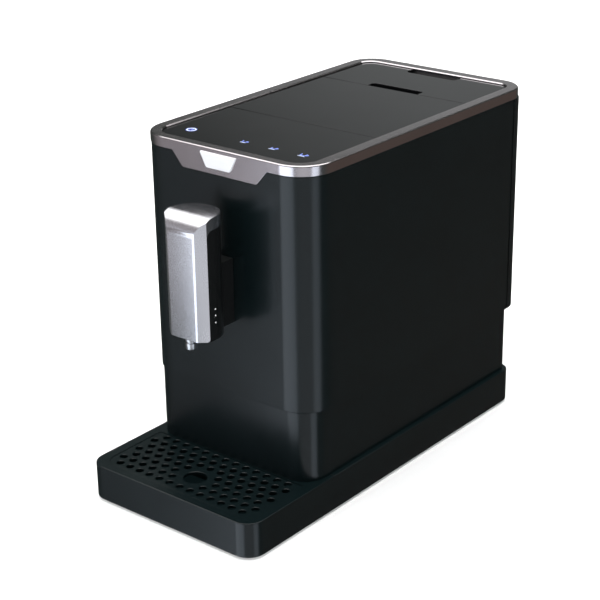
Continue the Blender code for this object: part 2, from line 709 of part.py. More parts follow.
def make_deck():
    """Deck under the glass panels, with the mouths of the hopper, tank and knob."""
    deck = prism(
        "top_deck",
        rounded(-FRAME_HALF, FRAME_HALF, OPENING_FRONT + GAP, OPENING_BACK - GAP, OPENING_RADIUS - GAP,
                OPENING_BACK_RADIUS - GAP),
        DECK_BOTTOM, DECK_TOP, "dark_plastic",
    )
    boss = rod("knob_boss", (KNOB_X, GRINDER_MIDDLE), KNOB_BOSS, DECK_BOTTOM - KNOB_BOSS_DEPTH,
               DECK_TOP - DECK_THICKNESS / 2)
    join(deck, boss)
    mouth = prism("hopper_mouth", hopper_outline(GAP), DECK_BOTTOM - WALL, DECK_TOP + WALL)
    well = prism("tank_well", rounded(-CELL_HALF, CELL_HALF, TANK_CELL_FRONT, TANK_CELL_BACK, 0, TANK_RADIUS),
                 DECK_BOTTOM - WALL, DECK_TOP + WALL)
    window = box("board_window", (-BOARD_HALF - GAP, BOARD_HALF + GAP),
                 (behind(BOARD_FRONT) - GAP, behind(BOARD_BACK) + GAP),
                 (DECK_BOTTOM - WALL, DECK_TOP + WALL))
    undercut = box("grip_undercut", (-GRIP_HALF, GRIP_HALF),
                   (behind(BEAN_BACK) - GRIP_UNDERCUT, TANK_CELL_FRONT + WALL),
                   (DECK_TOP - DECK_THICKNESS / 2, DECK_TOP + WALL))
    knob_pocket = rod("knob_pocket", (KNOB_X, GRINDER_MIDDLE), KNOB_RADIUS + GAP,
                      DECK_TOP - KNOB_HEIGHT - 2 * GAP, DECK_TOP + WALL)
    knob_bore = rod("knob_bore", (KNOB_X, GRINDER_MIDDLE), KNOB_STEM + GAP,
                    DECK_BOTTOM - 2 * KNOB_BOSS_DEPTH, DECK_TOP + WALL)
    cut(deck, mouth, well, window, undercut, knob_pocket, knob_bore)
    box("touch_board", (-BOARD_HALF, BOARD_HALF), (behind(BOARD_FRONT), behind(BOARD_BACK)),
        (DECK_TOP - DECK_THICKNESS / 2, DECK_TOP), "circuit_green")


def panel_outline(y0, y1, front_radius=0.0, back_radius=0.0):
    half = OPENING_HALF - PANEL_GAP
    return rounded(-half, half, y0, y1, front_radius, back_radius)


def make_panels():
    """Touch panel, bean lid with its seal, and the tank's lid with two finger recesses."""
    half_seam = PANEL_GAP / 2
    prism("touch_panel",
          panel_outline(OPENING_FRONT + PANEL_GAP, behind(TOUCH_BACK) - half_seam,
                        OPENING_RADIUS - PANEL_GAP),
          PANEL_BOTTOM, PANEL_TOP, "glass_black")
    lid = prism("bean_lid",
                panel_outline(behind(TOUCH_BACK) + half_seam, behind(BEAN_BACK) - half_seam),
                PANEL_BOTTOM, PANEL_TOP, "glass_black")
    seal = prism("bean_lid_seal", hopper_outline(-HOPPER_WALL - GAP), DECK_TOP - SEAL_HEIGHT, DECK_TOP,
                 "silicone")
    cut(seal, prism("seal_hole", hopper_outline(-2 * HOPPER_WALL - GAP), DECK_BOTTOM, DECK_TOP + WALL))
    carry(slide_or_pivot("bean_lid_lift", (0, behind(BEAN_BACK), PANEL_TOP)), lid, seal)
    rear = prism("tank_lid",
                 panel_outline(behind(BEAN_BACK) + half_seam, OPENING_BACK - PANEL_GAP, 0,
                               OPENING_BACK_RADIUS - PANEL_GAP),
                 PANEL_BOTTOM, PANEL_TOP, "glass_black")
    front_end = behind(BEAN_BACK) + GRIP_FRONT_LENGTH
    back_end = OPENING_BACK - GRIP_BACK_LENGTH
    front_grip = prism(
        "front_grip",
        rounded(-GRIP_HALF, GRIP_HALF, behind(BEAN_BACK) - WALL, front_end, 0, GRIP_FRONT_RADIUS),
        PANEL_BOTTOM - WALL, PANEL_TOP + WALL,
    )
    back_grip = prism(
        "back_grip",
        rounded(-GRIP_HALF, GRIP_HALF, back_end, OPENING_BACK + WALL, GRIP_BACK_RADIUS, 0),
        PANEL_BOTTOM - WALL, PANEL_TOP + WALL,
    )
    cut(rear, front_grip, back_grip)
    return rear


# ---------------------------------------------------------------- inner frame
def make_frame():
    """Three-cell inner frame: brew unit in front, grinder in the middle, tank at the back."""
    frame = prism(
        "inner_frame",
        rounded(-FRAME_HALF, FRAME_HALF, behind(FRAME_FRONT), behind(FRAME_BACK), 0,
                TANK_RADIUS + FRAME_WALL),
        BASE_TOP + GAP, FRAME_TOP, "frame_plastic",
    )
    cells = {
        "brew": (behind(FRAME_FRONT + FRAME_WALL), behind(BREW_BACK), BREW_SHELF),
        "middle": (behind(BREW_BACK) + FRAME_WALL, behind(MIDDLE_BACK), MIDDLE_SHELF),
        "tank": (TANK_CELL_FRONT, TANK_CELL_BACK, TANK_SHELF),
    }
    for name, (y0, y1, shelf) in cells.items():
        corner = TANK_RADIUS if name == "tank" else 0
        low_front = behind(FRAME_FRONT) - WALL if name == "brew" else y0
        upper = prism(f"{name}_upper_cell", rounded(-CELL_HALF, CELL_HALF, y0, y1, 0, corner),
                      shelf + SHELF, FRAME_TOP + WALL)
        lower = prism(f"{name}_lower_cell", rounded(-CELL_HALF, CELL_HALF, low_front, y1, 0, corner),
                      BASE_TOP - WALL, shelf)
        cut(frame, upper, lower)
    duct_hole = box("duct_hole", (-NECK_HALF - GAP, NECK_HALF + GAP),
                    (behind(FRAME_FRONT) - WALL, behind(FRAME_FRONT) + 2 * FRAME_WALL),
                    (NECK_BOTTOM - GAP, NECK_TOP + GAP))
    puck_hole = rod("puck_hole", (0, BREW_MIDDLE), CHAMBER_BORE, BREW_SHELF - SHELF, BREW_SHELF + 2 * SHELF)
    chute_hole = box("chute_hole", (-CHUTE_HALF - GAP, CHUTE_HALF + GAP),
                     (behind(BREW_BACK) - FRAME_WALL, behind(BREW_BACK) + 2 * FRAME_WALL),
                     (CHAMBER_TOP - CHUTE_CLEARANCE, GRINDER_BOTTOM + CHUTE_HOLE_TOP))
    valve_hole = rod("hose_hole", (HOSE_X, TANK_MIDDLE), HOSE_RADIUS + GAP, TANK_SHELF - SHELF,
                     TANK_SHELF + 2 * SHELF, steps=16)
    hose_pass = box("hose_pass", (HOSE_X - 2 * HOSE_RADIUS, HOSE_X + 2 * HOSE_RADIUS),
                    (behind(MIDDLE_BACK) - FRAME_WALL, TANK_CELL_FRONT + FRAME_WALL),
                    (BASE_TOP - WALL, BASE_TOP + PUMP_RADIUS + HOSE_PASS))
    cut(frame, duct_hole, puck_hole, chute_hole, valve_hole, hose_pass)
    cut(frame, *socket_openings("frame", TANK_CELL_BACK - WALL, behind(FRAME_BACK) + WALL / 2))


# ---------------------------------------------------------------- drawer
def make_drawer():
    """Drip tray, lower front panel, grille and grounds bin, which pull out together."""
    seam = behind(LOWER_SEAM)
    tray = prism("drip_tray", rounded(-HALF, HALF, TRAY_FRONT, seam, BASE_RADIUS, 0, 8),
                 FOOT_HEIGHT, BASE_TOP, "satin_black")
    tongue = box("tray_tongue", (-RUNNER_HALF, RUNNER_HALF), (seam - WALL, behind(RUNNER_BACK)),
                 (FOOT_HEIGHT + FLOOR + RUNNER_GAP, BASE_TOP))
    join(tray, tongue)
    seat = prism("grille_seat", grille_outline(GAP), GRILLE_BOTTOM - GAP, BASE_TOP + WALL)
    well = prism("drip_well", grille_outline(-GRILLE_LEDGE), FOOT_HEIGHT + WELL_FLOOR, BASE_TOP)
    inner = RUNNER_HALF - RUNNER_WALL
    under_panel = box("under_panel", (-HALF + 2 * WALL, HALF - 2 * WALL),
                      (behind(GRILLE_BACK) + WALL, seam - WALL), (0, BASE_TOP - WALL))
    under_tongue = box("under_tongue", (-inner, inner), (seam - 2 * WALL, behind(RUNNER_BACK) + WALL),
                       (0, BASE_TOP - WALL))
    cut(tray, seat, well, under_panel, under_tongue)
    panel = strip(
        "lower_front_panel",
        front_path(LOWER_HALF, behind(LOWER_FRONT_INSET), seam, LOWER_RADIUS),
        front_path(LOWER_HALF - WALL, behind(LOWER_FRONT_INSET) + WALL, seam, LOWER_RADIUS - WALL),
        BASE_TOP + GAP, UPPER_BOTTOM - SEAM, "satin_black",
    )
    grille = make_grille()
    bin_bottom = BASE_TOP + GAP
    grounds = prism("grounds_bin",
                    rounded(-BIN_HALF, BIN_HALF, behind(BIN_FRONT), behind(BIN_BACK), BIN_RADIUS,
                            BIN_BACK_RADIUS),
                    bin_bottom, bin_bottom + BIN_HEIGHT, "dark_plastic")
    cut(grounds, prism(
        "bin_hollow",
        rounded(-BIN_HALF + BIN_WALL, BIN_HALF - BIN_WALL, behind(BIN_FRONT) + BIN_WALL,
                behind(BIN_BACK) - BIN_WALL, BIN_RADIUS - BIN_WALL, BIN_BACK_RADIUS - BIN_WALL),
        bin_bottom + BIN_WALL, bin_bottom + BIN_HEIGHT + WALL,
    ))
    drawer = slide_or_pivot("drawer_slide", (0, seam, FOOT_HEIGHT))
    carry(drawer, tray, panel)
    grille_lift = slide_or_pivot("grille_lift", (0, SPOUT_Y + FRONT, BASE_TOP))
    bin_lift = slide_or_pivot("bin_lift", (0, behind(BIN_BACK), bin_bottom))
    carry(drawer, grille_lift, bin_lift)
    carry(grille_lift, grille)
    carry(bin_lift, grounds)


def grille_outline(grow):
    half = HALF - GRILLE_MARGIN + grow
    return rounded(-half, half, TRAY_FRONT + GRILLE_FRONT_MARGIN - grow, behind(GRILLE_BACK) + min(grow, GAP),
                   GRILLE_RADIUS + grow, GRILLE_BACK_RADIUS + max(grow, 0))


def make_grille():
    """Flat grille with rows of six-sided holes round a drain hole."""
    grille = prism("drip_grille", grille_outline(0), GRILLE_BOTTOM, GRILLE_BOTTOM + GRILLE_THICKNESS,
                   "satin_black")
    bm = bmesh.new()
    low, high = GRILLE_BOTTOM - GRILLE_THICKNESS, GRILLE_BOTTOM + 2 * GRILLE_THICKNESS
    half = HALF - GRILLE_MARGIN - GRILLE_LEDGE / 2
    for row in range(HOLE_ROWS):
        y = TRAY_FRONT + HOLE_FIRST_ROW + row * HOLE_ROW
        offset = HOLE_PITCH / 2 if row % 2 else 0.0
        reach = int(half / HOLE_PITCH) + 1
        for column in range(-reach, reach + 1):
            x = column * HOLE_PITCH + offset
            clear = math.hypot(x, y - FRONT - SPOUT_Y) > DRAIN_RADIUS + HOLE_RADIUS + HOLE_MARGIN
            ahead = y + HOLE_RADIUS < behind(GRILLE_BACK) - HOLE_MARGIN
            if abs(x) + HOLE_RADIUS < half and clear and ahead:
                add_prism(bm, circle_points(x, y, HOLE_RADIUS, 6, 30), low, high)
    add_prism(bm, circle_points(0, FRONT + SPOUT_Y, DRAIN_RADIUS, 24, 0), low, high)
    holes = add_object("grille_holes", finish_mesh("grille_holes", bm, smooth=False))
    return cut(grille, holes)


def circle_points(cx, cy, radius, steps, turn):
    return arc(cx, cy, radius, turn, turn + 360, steps)[:-1]


def add_prism(bm, outline, low, high):
    bottom = [bm.verts.new((a, b, low)) for a, b in outline]
    top = [bm.verts.new((a, b, high)) for a, b in outline]
    bm.faces.new(bottom[::-1])
    bm.faces.new(top)
    for i in range(len(outline)):
        j = (i + 1) % len(outline)
        bm.faces.new((bottom[i], bottom[j], top[j], top[i]))


# ---------------------------------------------------------------- spout
def spout_outline(grow=0.0, front=SPOUT_SHOULDER):
    """Straight sides with a half-round back."""
    radius = SPOUT_HALF + grow
    back = arc(0, FRONT - SPOUT_CENTRE, radius, 0, 180, 12)
    return [(-radius, FRONT - front), (radius, FRONT - front)] + back


def make_spout():
    """Coffee duct that stays put, and the slider, hood and nozzle that travel on it."""
    duct = box("coffee_duct", (-NECK_HALF, NECK_HALF),
               (FRONT - NECK_FRONT, BREW_MIDDLE - CHAMBER_RADIUS - GAP), (NECK_BOTTOM, NECK_TOP),
               "dark_plastic")
    bore = rod("duct_bore", (0, NECK_BOTTOM + NECK_HALF), NECK_HALF / 2, FRONT - NECK_FRONT + WALL,
               BREW_MIDDLE, along="y", steps=16)
    drop = rod("duct_drop", (0, FRONT - NECK_FRONT + WALL + NECK_HALF / 2), NECK_HALF / 2.2,
               NECK_BOTTOM - WALL, NECK_BOTTOM + NECK_HALF, steps=16)
    cut(duct, bore, drop)
    slot_front = FRONT - NECK_FRONT - GAP
    slider = prism("spout_slider", spout_outline(), SPOUT_BOTTOM, SPOUT_CAP - GAP, "dark_plastic")
    slot = box("slider_slot", (-NECK_HALF - GAP, NECK_HALF + GAP), (slot_front, FRONT),
               (SPOUT_BOTTOM - WALL, SPOUT_CAP + WALL))
    funnel = rod("slider_outlet", (0, FRONT + NOZZLE_Y + OUTLET_BACK), NOZZLE_BORE, SPOUT_BOTTOM - WALL,
                 SPOUT_CAP + WALL, steps=12)
    cut(slider, slot, funnel)
    hood = make_hood()
    nozzle = turned(
        "spout_nozzle",
        [(NOZZLE_BORE, NOZZLE_BOTTOM), (NOZZLE_RADIUS, NOZZLE_BOTTOM),
         (NOZZLE_RADIUS, HOOD_BOTTOM - GAP), (NOZZLE_BORE, HOOD_BOTTOM - GAP)],
        (0, FRONT + NOZZLE_Y), "steel", steps=20,
    )
    carry(slide_or_pivot("spout_slide", (0, FRONT - SPOUT_CENTRE, SPOUT_BOTTOM)), slider, hood, nozzle)


def make_hood():
    """Metal hood: flat nose with chamfered sides, bent back over the top as a cap."""
    nose, side = FRONT - SPOUT_REACH, FRONT - SPOUT_SHOULDER
    inner_y = side - GAP
    plate = [(-SPOUT_NOSE, nose), (SPOUT_NOSE, nose), (SPOUT_HALF, inner_y), (-SPOUT_HALF, inner_y)]
    hood = prism("spout_hood", plate, HOOD_BOTTOM, SPOUT_TOP, "silver_paint")
    cap = prism("hood_cap", [(-SPOUT_HALF, inner_y - GAP), (SPOUT_HALF, inner_y - GAP)]
                + arc(0, FRONT - SPOUT_CENTRE, SPOUT_HALF, 0, 180, 12), SPOUT_CAP, SPOUT_TOP)
    join(hood, cap)
    bend = arc(nose + HOOD_BEND, SPOUT_TOP - HOOD_BEND, HOOD_BEND, 180, 90, 6)
    corner = [(nose - WALL, SPOUT_TOP - HOOD_BEND)] + bend + [(nose + HOOD_BEND, SPOUT_TOP + WALL),
                                                             (nose - WALL, SPOUT_TOP + WALL)]
    rounding = prism("hood_rounding", corner, -2 * SPOUT_HALF, 2 * SPOUT_HALF, along="x")
    return cut(hood, rounding)


# ---------------------------------------------------------------- hopper and grinder
def hopper_outline(grow):
    """Mouth of the hopper, off centre to leave room for the grind knob."""
    return rounded(-HOPPER_LEFT - grow, HOPPER_RIGHT + grow, behind(HOPPER_FRONT) - grow,
                   behind(HOPPER_BACK) + grow, HOPPER_RADIUS + grow, HOPPER_RADIUS + grow)


def throat_outline(radius):
    """Round throat with the same point count and order as the mouth."""
    return rounded(-radius, radius, GRINDER_MIDDLE - radius, GRINDER_MIDDLE + radius, radius, radius)


def make_hopper():
    """Bean hopper: straight mouth, sloping funnel and round throat."""
    wall = HOPPER_WALL
    throat_top = GRINDER_TOP + GEAR_HEIGHT + 3 * GAP
    lofted("bean_hopper", [
        (hopper_outline(0), DECK_TOP),
        (hopper_outline(0), HOPPER_SKIRT),
        (throat_outline(THROAT_RADIUS), throat_top),
        (throat_outline(THROAT_RADIUS), THROAT_BOTTOM),
        (throat_outline(THROAT_RADIUS - wall), THROAT_BOTTOM),
        (throat_outline(THROAT_RADIUS - wall), throat_top + wall),
        (hopper_outline(-wall), HOPPER_SKIRT + wall),
        (hopper_outline(-wall), DECK_TOP),
    ], "smoke_plastic")


def make_grinder():
    """Motor, housing, burrs, adjusting ring and knob."""
    centre = (0, GRINDER_MIDDLE)
    motor_top = GRINDER_BOTTOM - GAP
    bore = SHAFT_RADIUS + SHAFT_GAP
    shaft_foot = motor_top - SHAFT_DEPTH
    turned("grinder_motor", [
        (MOTOR_RADIUS, MIDDLE_SHELF + SHELF + GAP), (MOTOR_RADIUS, motor_top), (bore, motor_top),
        (bore, shaft_foot),
    ], centre, "steel", steps=28, solid=True)
    inner = GRINDER_RADIUS - GRINDER_WALL
    housing = turned("grinder_housing", [
        (GRINDER_RADIUS, GRINDER_BOTTOM), (GRINDER_RADIUS, GRINDER_TOP), (inner, GRINDER_TOP),
        (inner, GRINDER_BOTTOM + GRINDER_FLOOR), (bore, GRINDER_BOTTOM + GRINDER_FLOOR),
        (bore, GRINDER_BOTTOM),
    ], centre, "dark_plastic", steps=28)
    outlet = box("grinder_outlet", (-CHUTE_HALF + CHUTE_WALL, CHUTE_HALF - CHUTE_WALL),
                 (GRINDER_MIDDLE - GRINDER_RADIUS - WALL, GRINDER_MIDDLE - MOTOR_RADIUS),
                 (CHUTE_TOP_Z + CHUTE_WALL, CHUTE_TOP_Z + CHUTE_HEIGHT - CHUTE_WALL))
    cut(housing, outlet)
    shaft = rod("grinder_shaft", centre, SHAFT_RADIUS, shaft_foot + GAP, BURR_LOW + BURR_HEIGHT, "steel",
                steps=20, pivot=(0, GRINDER_MIDDLE, BURR_LOW))
    lower = turned("lower_burr", [
        (BURR_RADIUS, BURR_LOW), (BURR_RADIUS, BURR_LOW + BURR_EDGE), (BURR_TIP, BURR_LOW + BURR_HEIGHT),
        (bore, BURR_LOW + BURR_HEIGHT), (bore, BURR_LOW),
    ], centre, "steel", steps=28, pivot=(0, GRINDER_MIDDLE, BURR_LOW))
    carry(slide_or_pivot("grinder_spin", (0, GRINDER_MIDDLE, BURR_LOW)), shaft, lower)
    ring_low = GRINDER_TOP + GAP
    skirt_low = BURR_LOW + SKIRT_RISE
    ring = prism("adjuster_ring", gear_outline(0, GRINDER_MIDDLE, RING_PITCH_RADIUS, RING_TEETH, 0),
                 ring_low, ring_low + GEAR_HEIGHT, "brass")
    skirt = rod("ring_skirt", centre, inner - GAP, skirt_low, ring_low + GEAR_HEIGHT / 2, steps=28)
    join(ring, skirt)
    cut(ring, rod("ring_bore", centre, THROAT_RADIUS + GAP, skirt_low - WALL, ring_low + 2 * GEAR_HEIGHT,
                  steps=28))
    upper = turned("upper_burr", [
        (BURR_RADIUS, BURR_LOW + BURR_OVERLAP), (BURR_RADIUS, skirt_low - GAP), (BURR_MOUTH, skirt_low - GAP),
        (BURR_MOUTH, BURR_LOW + BURR_HEIGHT),
    ], centre, "steel", steps=28)
    carry(slide_or_pivot("adjuster_turn", (0, GRINDER_MIDDLE, ring_low)), ring, upper)
    make_knob(ring_low)


def make_knob(ring_low):
    """Grind knob in the deck, with its stem and the pinion that turns the adjusting ring."""
    centre = (KNOB_X, GRINDER_MIDDLE)
    head_low = DECK_TOP - KNOB_HEIGHT - GAP
    knob = rod("grind_knob", centre, KNOB_RADIUS, head_low, head_low + KNOB_PLATE, "dark_plastic", steps=28)
    reach = KNOB_RADIUS - KNOB_GRIP_INSET
    grip = box("knob_grip", (KNOB_X - reach, KNOB_X + reach),
               (GRINDER_MIDDLE - KNOB_GRIP_HALF, GRINDER_MIDDLE + KNOB_GRIP_HALF), (head_low, DECK_TOP - GAP))
    stem = rod("knob_stem", centre, KNOB_STEM, ring_low, head_low + KNOB_PLATE / 2, steps=20)
    join(knob, grip, stem)
    pitch_radius = RING_PITCH_RADIUS * KNOB_TEETH / RING_TEETH
    pinion = prism("adjuster_pinion",
                   gear_outline(KNOB_X, GRINDER_MIDDLE, pitch_radius, KNOB_TEETH, 0.5 + KNOB_TEETH / 2),
                   ring_low, ring_low + GEAR_HEIGHT, "brass")
    cut(pinion, rod("pinion_bore", centre, KNOB_STEM + GAP, ring_low - WALL, ring_low + 2 * GEAR_HEIGHT,
                    steps=20))
    carry(slide_or_pivot("knob_turn", (KNOB_X, GRINDER_MIDDLE, DECK_TOP)), knob, pinion)


def make_chute():
    """Sloping square tube that carries the grounds from the grinder to the brew chamber."""
    near = BREW_MIDDLE + PISTON_RADIUS + CHUTE_CLEARANCE
    far = GRINDER_MIDDLE - GRINDER_RADIUS - GAP
    drop = CHUTE_TOP_Z - CHUTE_LOW_Z
    chute = prism("grounds_chute", [
        (near, CHUTE_LOW_Z), (far, CHUTE_LOW_Z + drop), (far, CHUTE_LOW_Z + drop + CHUTE_HEIGHT),
        (near, CHUTE_LOW_Z + CHUTE_HEIGHT),
    ], -CHUTE_HALF, CHUTE_HALF, "dark_plastic", along="x")
    bore = prism("chute_bore", [
        (near - WALL, CHUTE_LOW_Z + CHUTE_WALL), (far + WALL, CHUTE_LOW_Z + drop + CHUTE_WALL),
        (far + WALL, CHUTE_LOW_Z + drop + CHUTE_HEIGHT - CHUTE_WALL),
        (near - WALL, CHUTE_LOW_Z + CHUTE_HEIGHT - CHUTE_WALL),
    ], -CHUTE_HALF + CHUTE_WALL, CHUTE_HALF - CHUTE_WALL, along="x")
    cut(chute, bore)


# ---------------------------------------------------------------- brew unit
def make_brew_unit():
    """Chamber, screw-driven piston and its geared motor."""
    centre = (0, BREW_MIDDLE)
    shelf_top = BREW_SHELF + SHELF
    turned("brew_chamber", [
        (CHAMBER_RADIUS, shelf_top + GAP), (CHAMBER_RADIUS, CHAMBER_TOP), (CHAMBER_BORE, CHAMBER_TOP),
        (CHAMBER_BORE, shelf_top + GAP),
    ], centre, "frame_plastic", steps=32)
    piston = rod("brew_piston", centre, PISTON_RADIUS, PISTON_BOTTOM, PISTON_BOTTOM + PISTON_HEIGHT,
                 "white_plastic", steps=32)
    post = rod("piston_rod", centre, ROD_RADIUS, PISTON_BOTTOM + PISTON_HEIGHT / 2,
               YOKE_BOTTOM + YOKE_HEIGHT / 2, steps=20)
    yoke_end = SCREW_X + SCREW_RADIUS + YOKE_END
    yoke = box("piston_yoke", (-YOKE_HALF, yoke_end), (BREW_MIDDLE - YOKE_HALF, BREW_MIDDLE + YOKE_HALF),
               (YOKE_BOTTOM, YOKE_BOTTOM + YOKE_HEIGHT))
    nut = rod("yoke_nut", (SCREW_X, BREW_MIDDLE), SCREW_RADIUS + GAP, YOKE_BOTTOM - WALL,
              YOKE_BOTTOM + YOKE_HEIGHT + WALL, steps=20)
    cut(join(piston, post, yoke), nut)
    carry(slide_or_pivot("piston_slide", (0, BREW_MIDDLE, PISTON_BOTTOM)), piston)
    screw = rod("drive_screw", (SCREW_X, BREW_MIDDLE), SCREW_RADIUS, shelf_top + GAP,
                GEAR_BOTTOM + GEAR_HEIGHT, "steel", steps=20)
    screw_pitch = GEAR_CENTRES * SCREW_TEETH / (SCREW_TEETH + PINION_TEETH)
    gear = prism("drive_gear", gear_outline(SCREW_X, BREW_MIDDLE, screw_pitch, SCREW_TEETH, 0),
                 GEAR_BOTTOM, GEAR_BOTTOM + GEAR_HEIGHT, "white_plastic")
    cut(gear, rod("gear_bore", (SCREW_X, BREW_MIDDLE), SCREW_RADIUS + GAP, GEAR_BOTTOM - WALL,
                  GEAR_BOTTOM + 2 * GEAR_HEIGHT, steps=20))
    carry(slide_or_pivot("screw_turn", (SCREW_X, BREW_MIDDLE, GEAR_BOTTOM)), screw, gear)
    pinion_pitch = GEAR_CENTRES - screw_pitch
    half_tooth = 0.5 * (1 - PINION_TEETH % 2)
    pinion = prism("motor_pinion",
                   gear_outline(MOTOR_X, BREW_MIDDLE, pinion_pitch, PINION_TEETH, half_tooth),
                   GEAR_BOTTOM, GEAR_BOTTOM + GEAR_HEIGHT, "brass")
    carry(slide_or_pivot("pinion_turn", (MOTOR_X, BREW_MIDDLE, GEAR_BOTTOM)), pinion)
    rod("brew_motor", (MOTOR_X, BREW_MIDDLE), BREW_MOTOR_RADIUS, GEAR_BOTTOM - GAP - BREW_MOTOR_HEIGHT,
        GEAR_BOTTOM - GAP, "steel", steps=24)


# ---------------------------------------------------------------- tank and water path
def make_tank(lid):
    """Lift-out water tank with its lid, sprung valve and the seat below it."""
    half = CELL_HALF - TANK_GAP
    y0, y1 = TANK_CELL_FRONT + TANK_GAP, TANK_CELL_BACK - TANK_GAP
    bottom = TANK_SHELF + SHELF + TANK_BOTTOM
    top = PANEL_BOTTOM - GAP
    tank = prism("water_tank", rounded(-half, half, y0, y1, TANK_RADIUS, TANK_RADIUS), bottom, top,
                 "smoke_plastic")
    hollow = prism(
        "tank_hollow",
        rounded(-half + TANK_WALL, half - TANK_WALL, y0 + TANK_WALL, y1 - TANK_WALL,
                TANK_RADIUS - TANK_WALL, TANK_RADIUS - TANK_WALL),
        bottom + TANK_FLOOR, top + WALL,
    )
    outlet = rod("tank_outlet", (HOSE_X, TANK_MIDDLE), VALVE_STEM + GAP, bottom - WALL,
                 bottom + 2 * TANK_FLOOR, steps=16)
    cut(tank, hollow, outlet)
    floor_top = bottom + TANK_FLOOR
    stem_low = bottom - VALVE_DROP
    valve = turned("tank_valve", [
        (VALVE_STEM, stem_low), (VALVE_STEM, floor_top + GAP),
        (VALVE_DISC, floor_top + GAP), (VALVE_DISC, floor_top + VALVE_HEIGHT),
    ], (HOSE_X, TANK_MIDDLE), "silicone", steps=16, solid=True)
    lift = slide_or_pivot("tank_lift", (0, TANK_MIDDLE, bottom))
    lid_lift = slide_or_pivot("tank_lid_lift", (0, TANK_MIDDLE, PANEL_TOP))
    valve_slide = slide_or_pivot("valve_slide", (HOSE_X, TANK_MIDDLE, floor_top))
    carry(lift, tank, lid_lift, valve_slide)
    carry(lid_lift, lid)
    carry(valve_slide, valve)
    seat_low = TANK_SHELF + SHELF + GAP
    turned("tank_seat", [
        (SEAT_BORE, seat_low), (SEAT_RADIUS, seat_low), (SEAT_RADIUS, seat_low + SEAT_EDGE),
        (SEAT_TOP_RADIUS, stem_low - GAP), (SEAT_TOP_BORE, stem_low - GAP),
    ], (HOSE_X, TANK_MIDDLE), "dark_plastic", steps=20)


def tube(name, points, radius, material):
    """Hose along smooth points, with filled ends."""
    curve = bpy.data.curves.new(name, "CURVE")
    curve.dimensions = "3D"
    curve.bevel_depth = radius
    curve.bevel_resolution = 2
    curve.use_fill_caps = True
    spline = curve.splines.new("POLY")
    spline.points.add(len(points) - 1)
    for spot, place in zip(spline.points, points):
        spot.co = (*place, 1.0)
    curve.materials.append(MADE[material])
    obj = bpy.data.objects.new(name, curve)
    bpy.context.scene.collection.objects.link(obj)
    return obj


def bend(start, corner, end, steps=6):
    """Quadratic curve from start to end that leaves and arrives along the corner's legs."""
    points = []
    for i in range(steps + 1):
        t = i / steps
        points.append(tuple(
            (1 - t) ** 2 * a + 2 * t * (1 - t) * b + t * t * c for a, b, c in zip(start, corner, end)
        ))
    return points


def make_water_path():
    """Pump on the base, heater block, and the hose from the tank seat to the pump."""
    pump_y = behind(MIDDLE_BACK) - PUMP_RADIUS - PUMP_MARGIN
    pump_z = BASE_TOP + GAP + PUMP_RADIUS + PUMP_MARGIN
    left, right = PUMP_X - PUMP_LENGTH / 2, PUMP_X + PUMP_LENGTH / 2
    pump = rod("water_pump", (pump_y, pump_z), PUMP_RADIUS, left, right, "cast_alloy", along="x", steps=24)
    saddle = box("pump_saddle", (left + SADDLE_END, right - SADDLE_END),
                 (pump_y - SADDLE_HALF, pump_y + SADDLE_HALF),
                 (BASE_TOP + GAP, pump_z))
    nozzle = rod("pump_nozzle", (pump_y, pump_z), HOSE_RADIUS, right - WALL, right + PUMP_NOZZLE,
                 along="x", steps=12)
    join(pump, saddle, nozzle)
    heater = prism(
        "thermoblock",
        rounded(HEATER_LEFT, HEATER_RIGHT, behind(HEATER_FRONT), behind(HEATER_BACK),
                HEATER_RADIUS, HEATER_RADIUS, 4),
        BASE_TOP + GAP, BASE_TOP + HEATER_HEIGHT, "cast_alloy",
    )
    for i in range(GROOVE_COUNT):
        z = BASE_TOP + HEATER_HEIGHT * (i + 1) / (GROOVE_COUNT + 1)
        groove = box(f"heater_groove_{i}", (HEATER_RIGHT - GROOVE_DEPTH, HEATER_RIGHT + WALL),
                     (behind(HEATER_FRONT) - WALL, behind(HEATER_BACK) + WALL),
                     (z - GROOVE_DEPTH, z + GROOVE_DEPTH))
        cut(heater, groove)
    top = (HOSE_X, TANK_MIDDLE, TANK_SHELF + SHELF)
    low = (HOSE_X, TANK_MIDDLE, pump_z + HOSE_RISE)
    turn = (HOSE_X, TANK_MIDDLE, pump_z)
    middle = (HOSE_X, pump_y + HOSE_LEG, pump_z)
    mouth_x = right + PUMP_NOZZLE + GAP
    inlet_bend = bend(middle, (HOSE_X, pump_y, pump_z), (mouth_x + HOSE_RADIUS, pump_y, pump_z))
    route = [top] + bend(low, turn, middle) + inlet_bend[1:] + [(mouth_x, pump_y, pump_z)]
    tube("pump_hose", route, HOSE_RADIUS, "silicone")


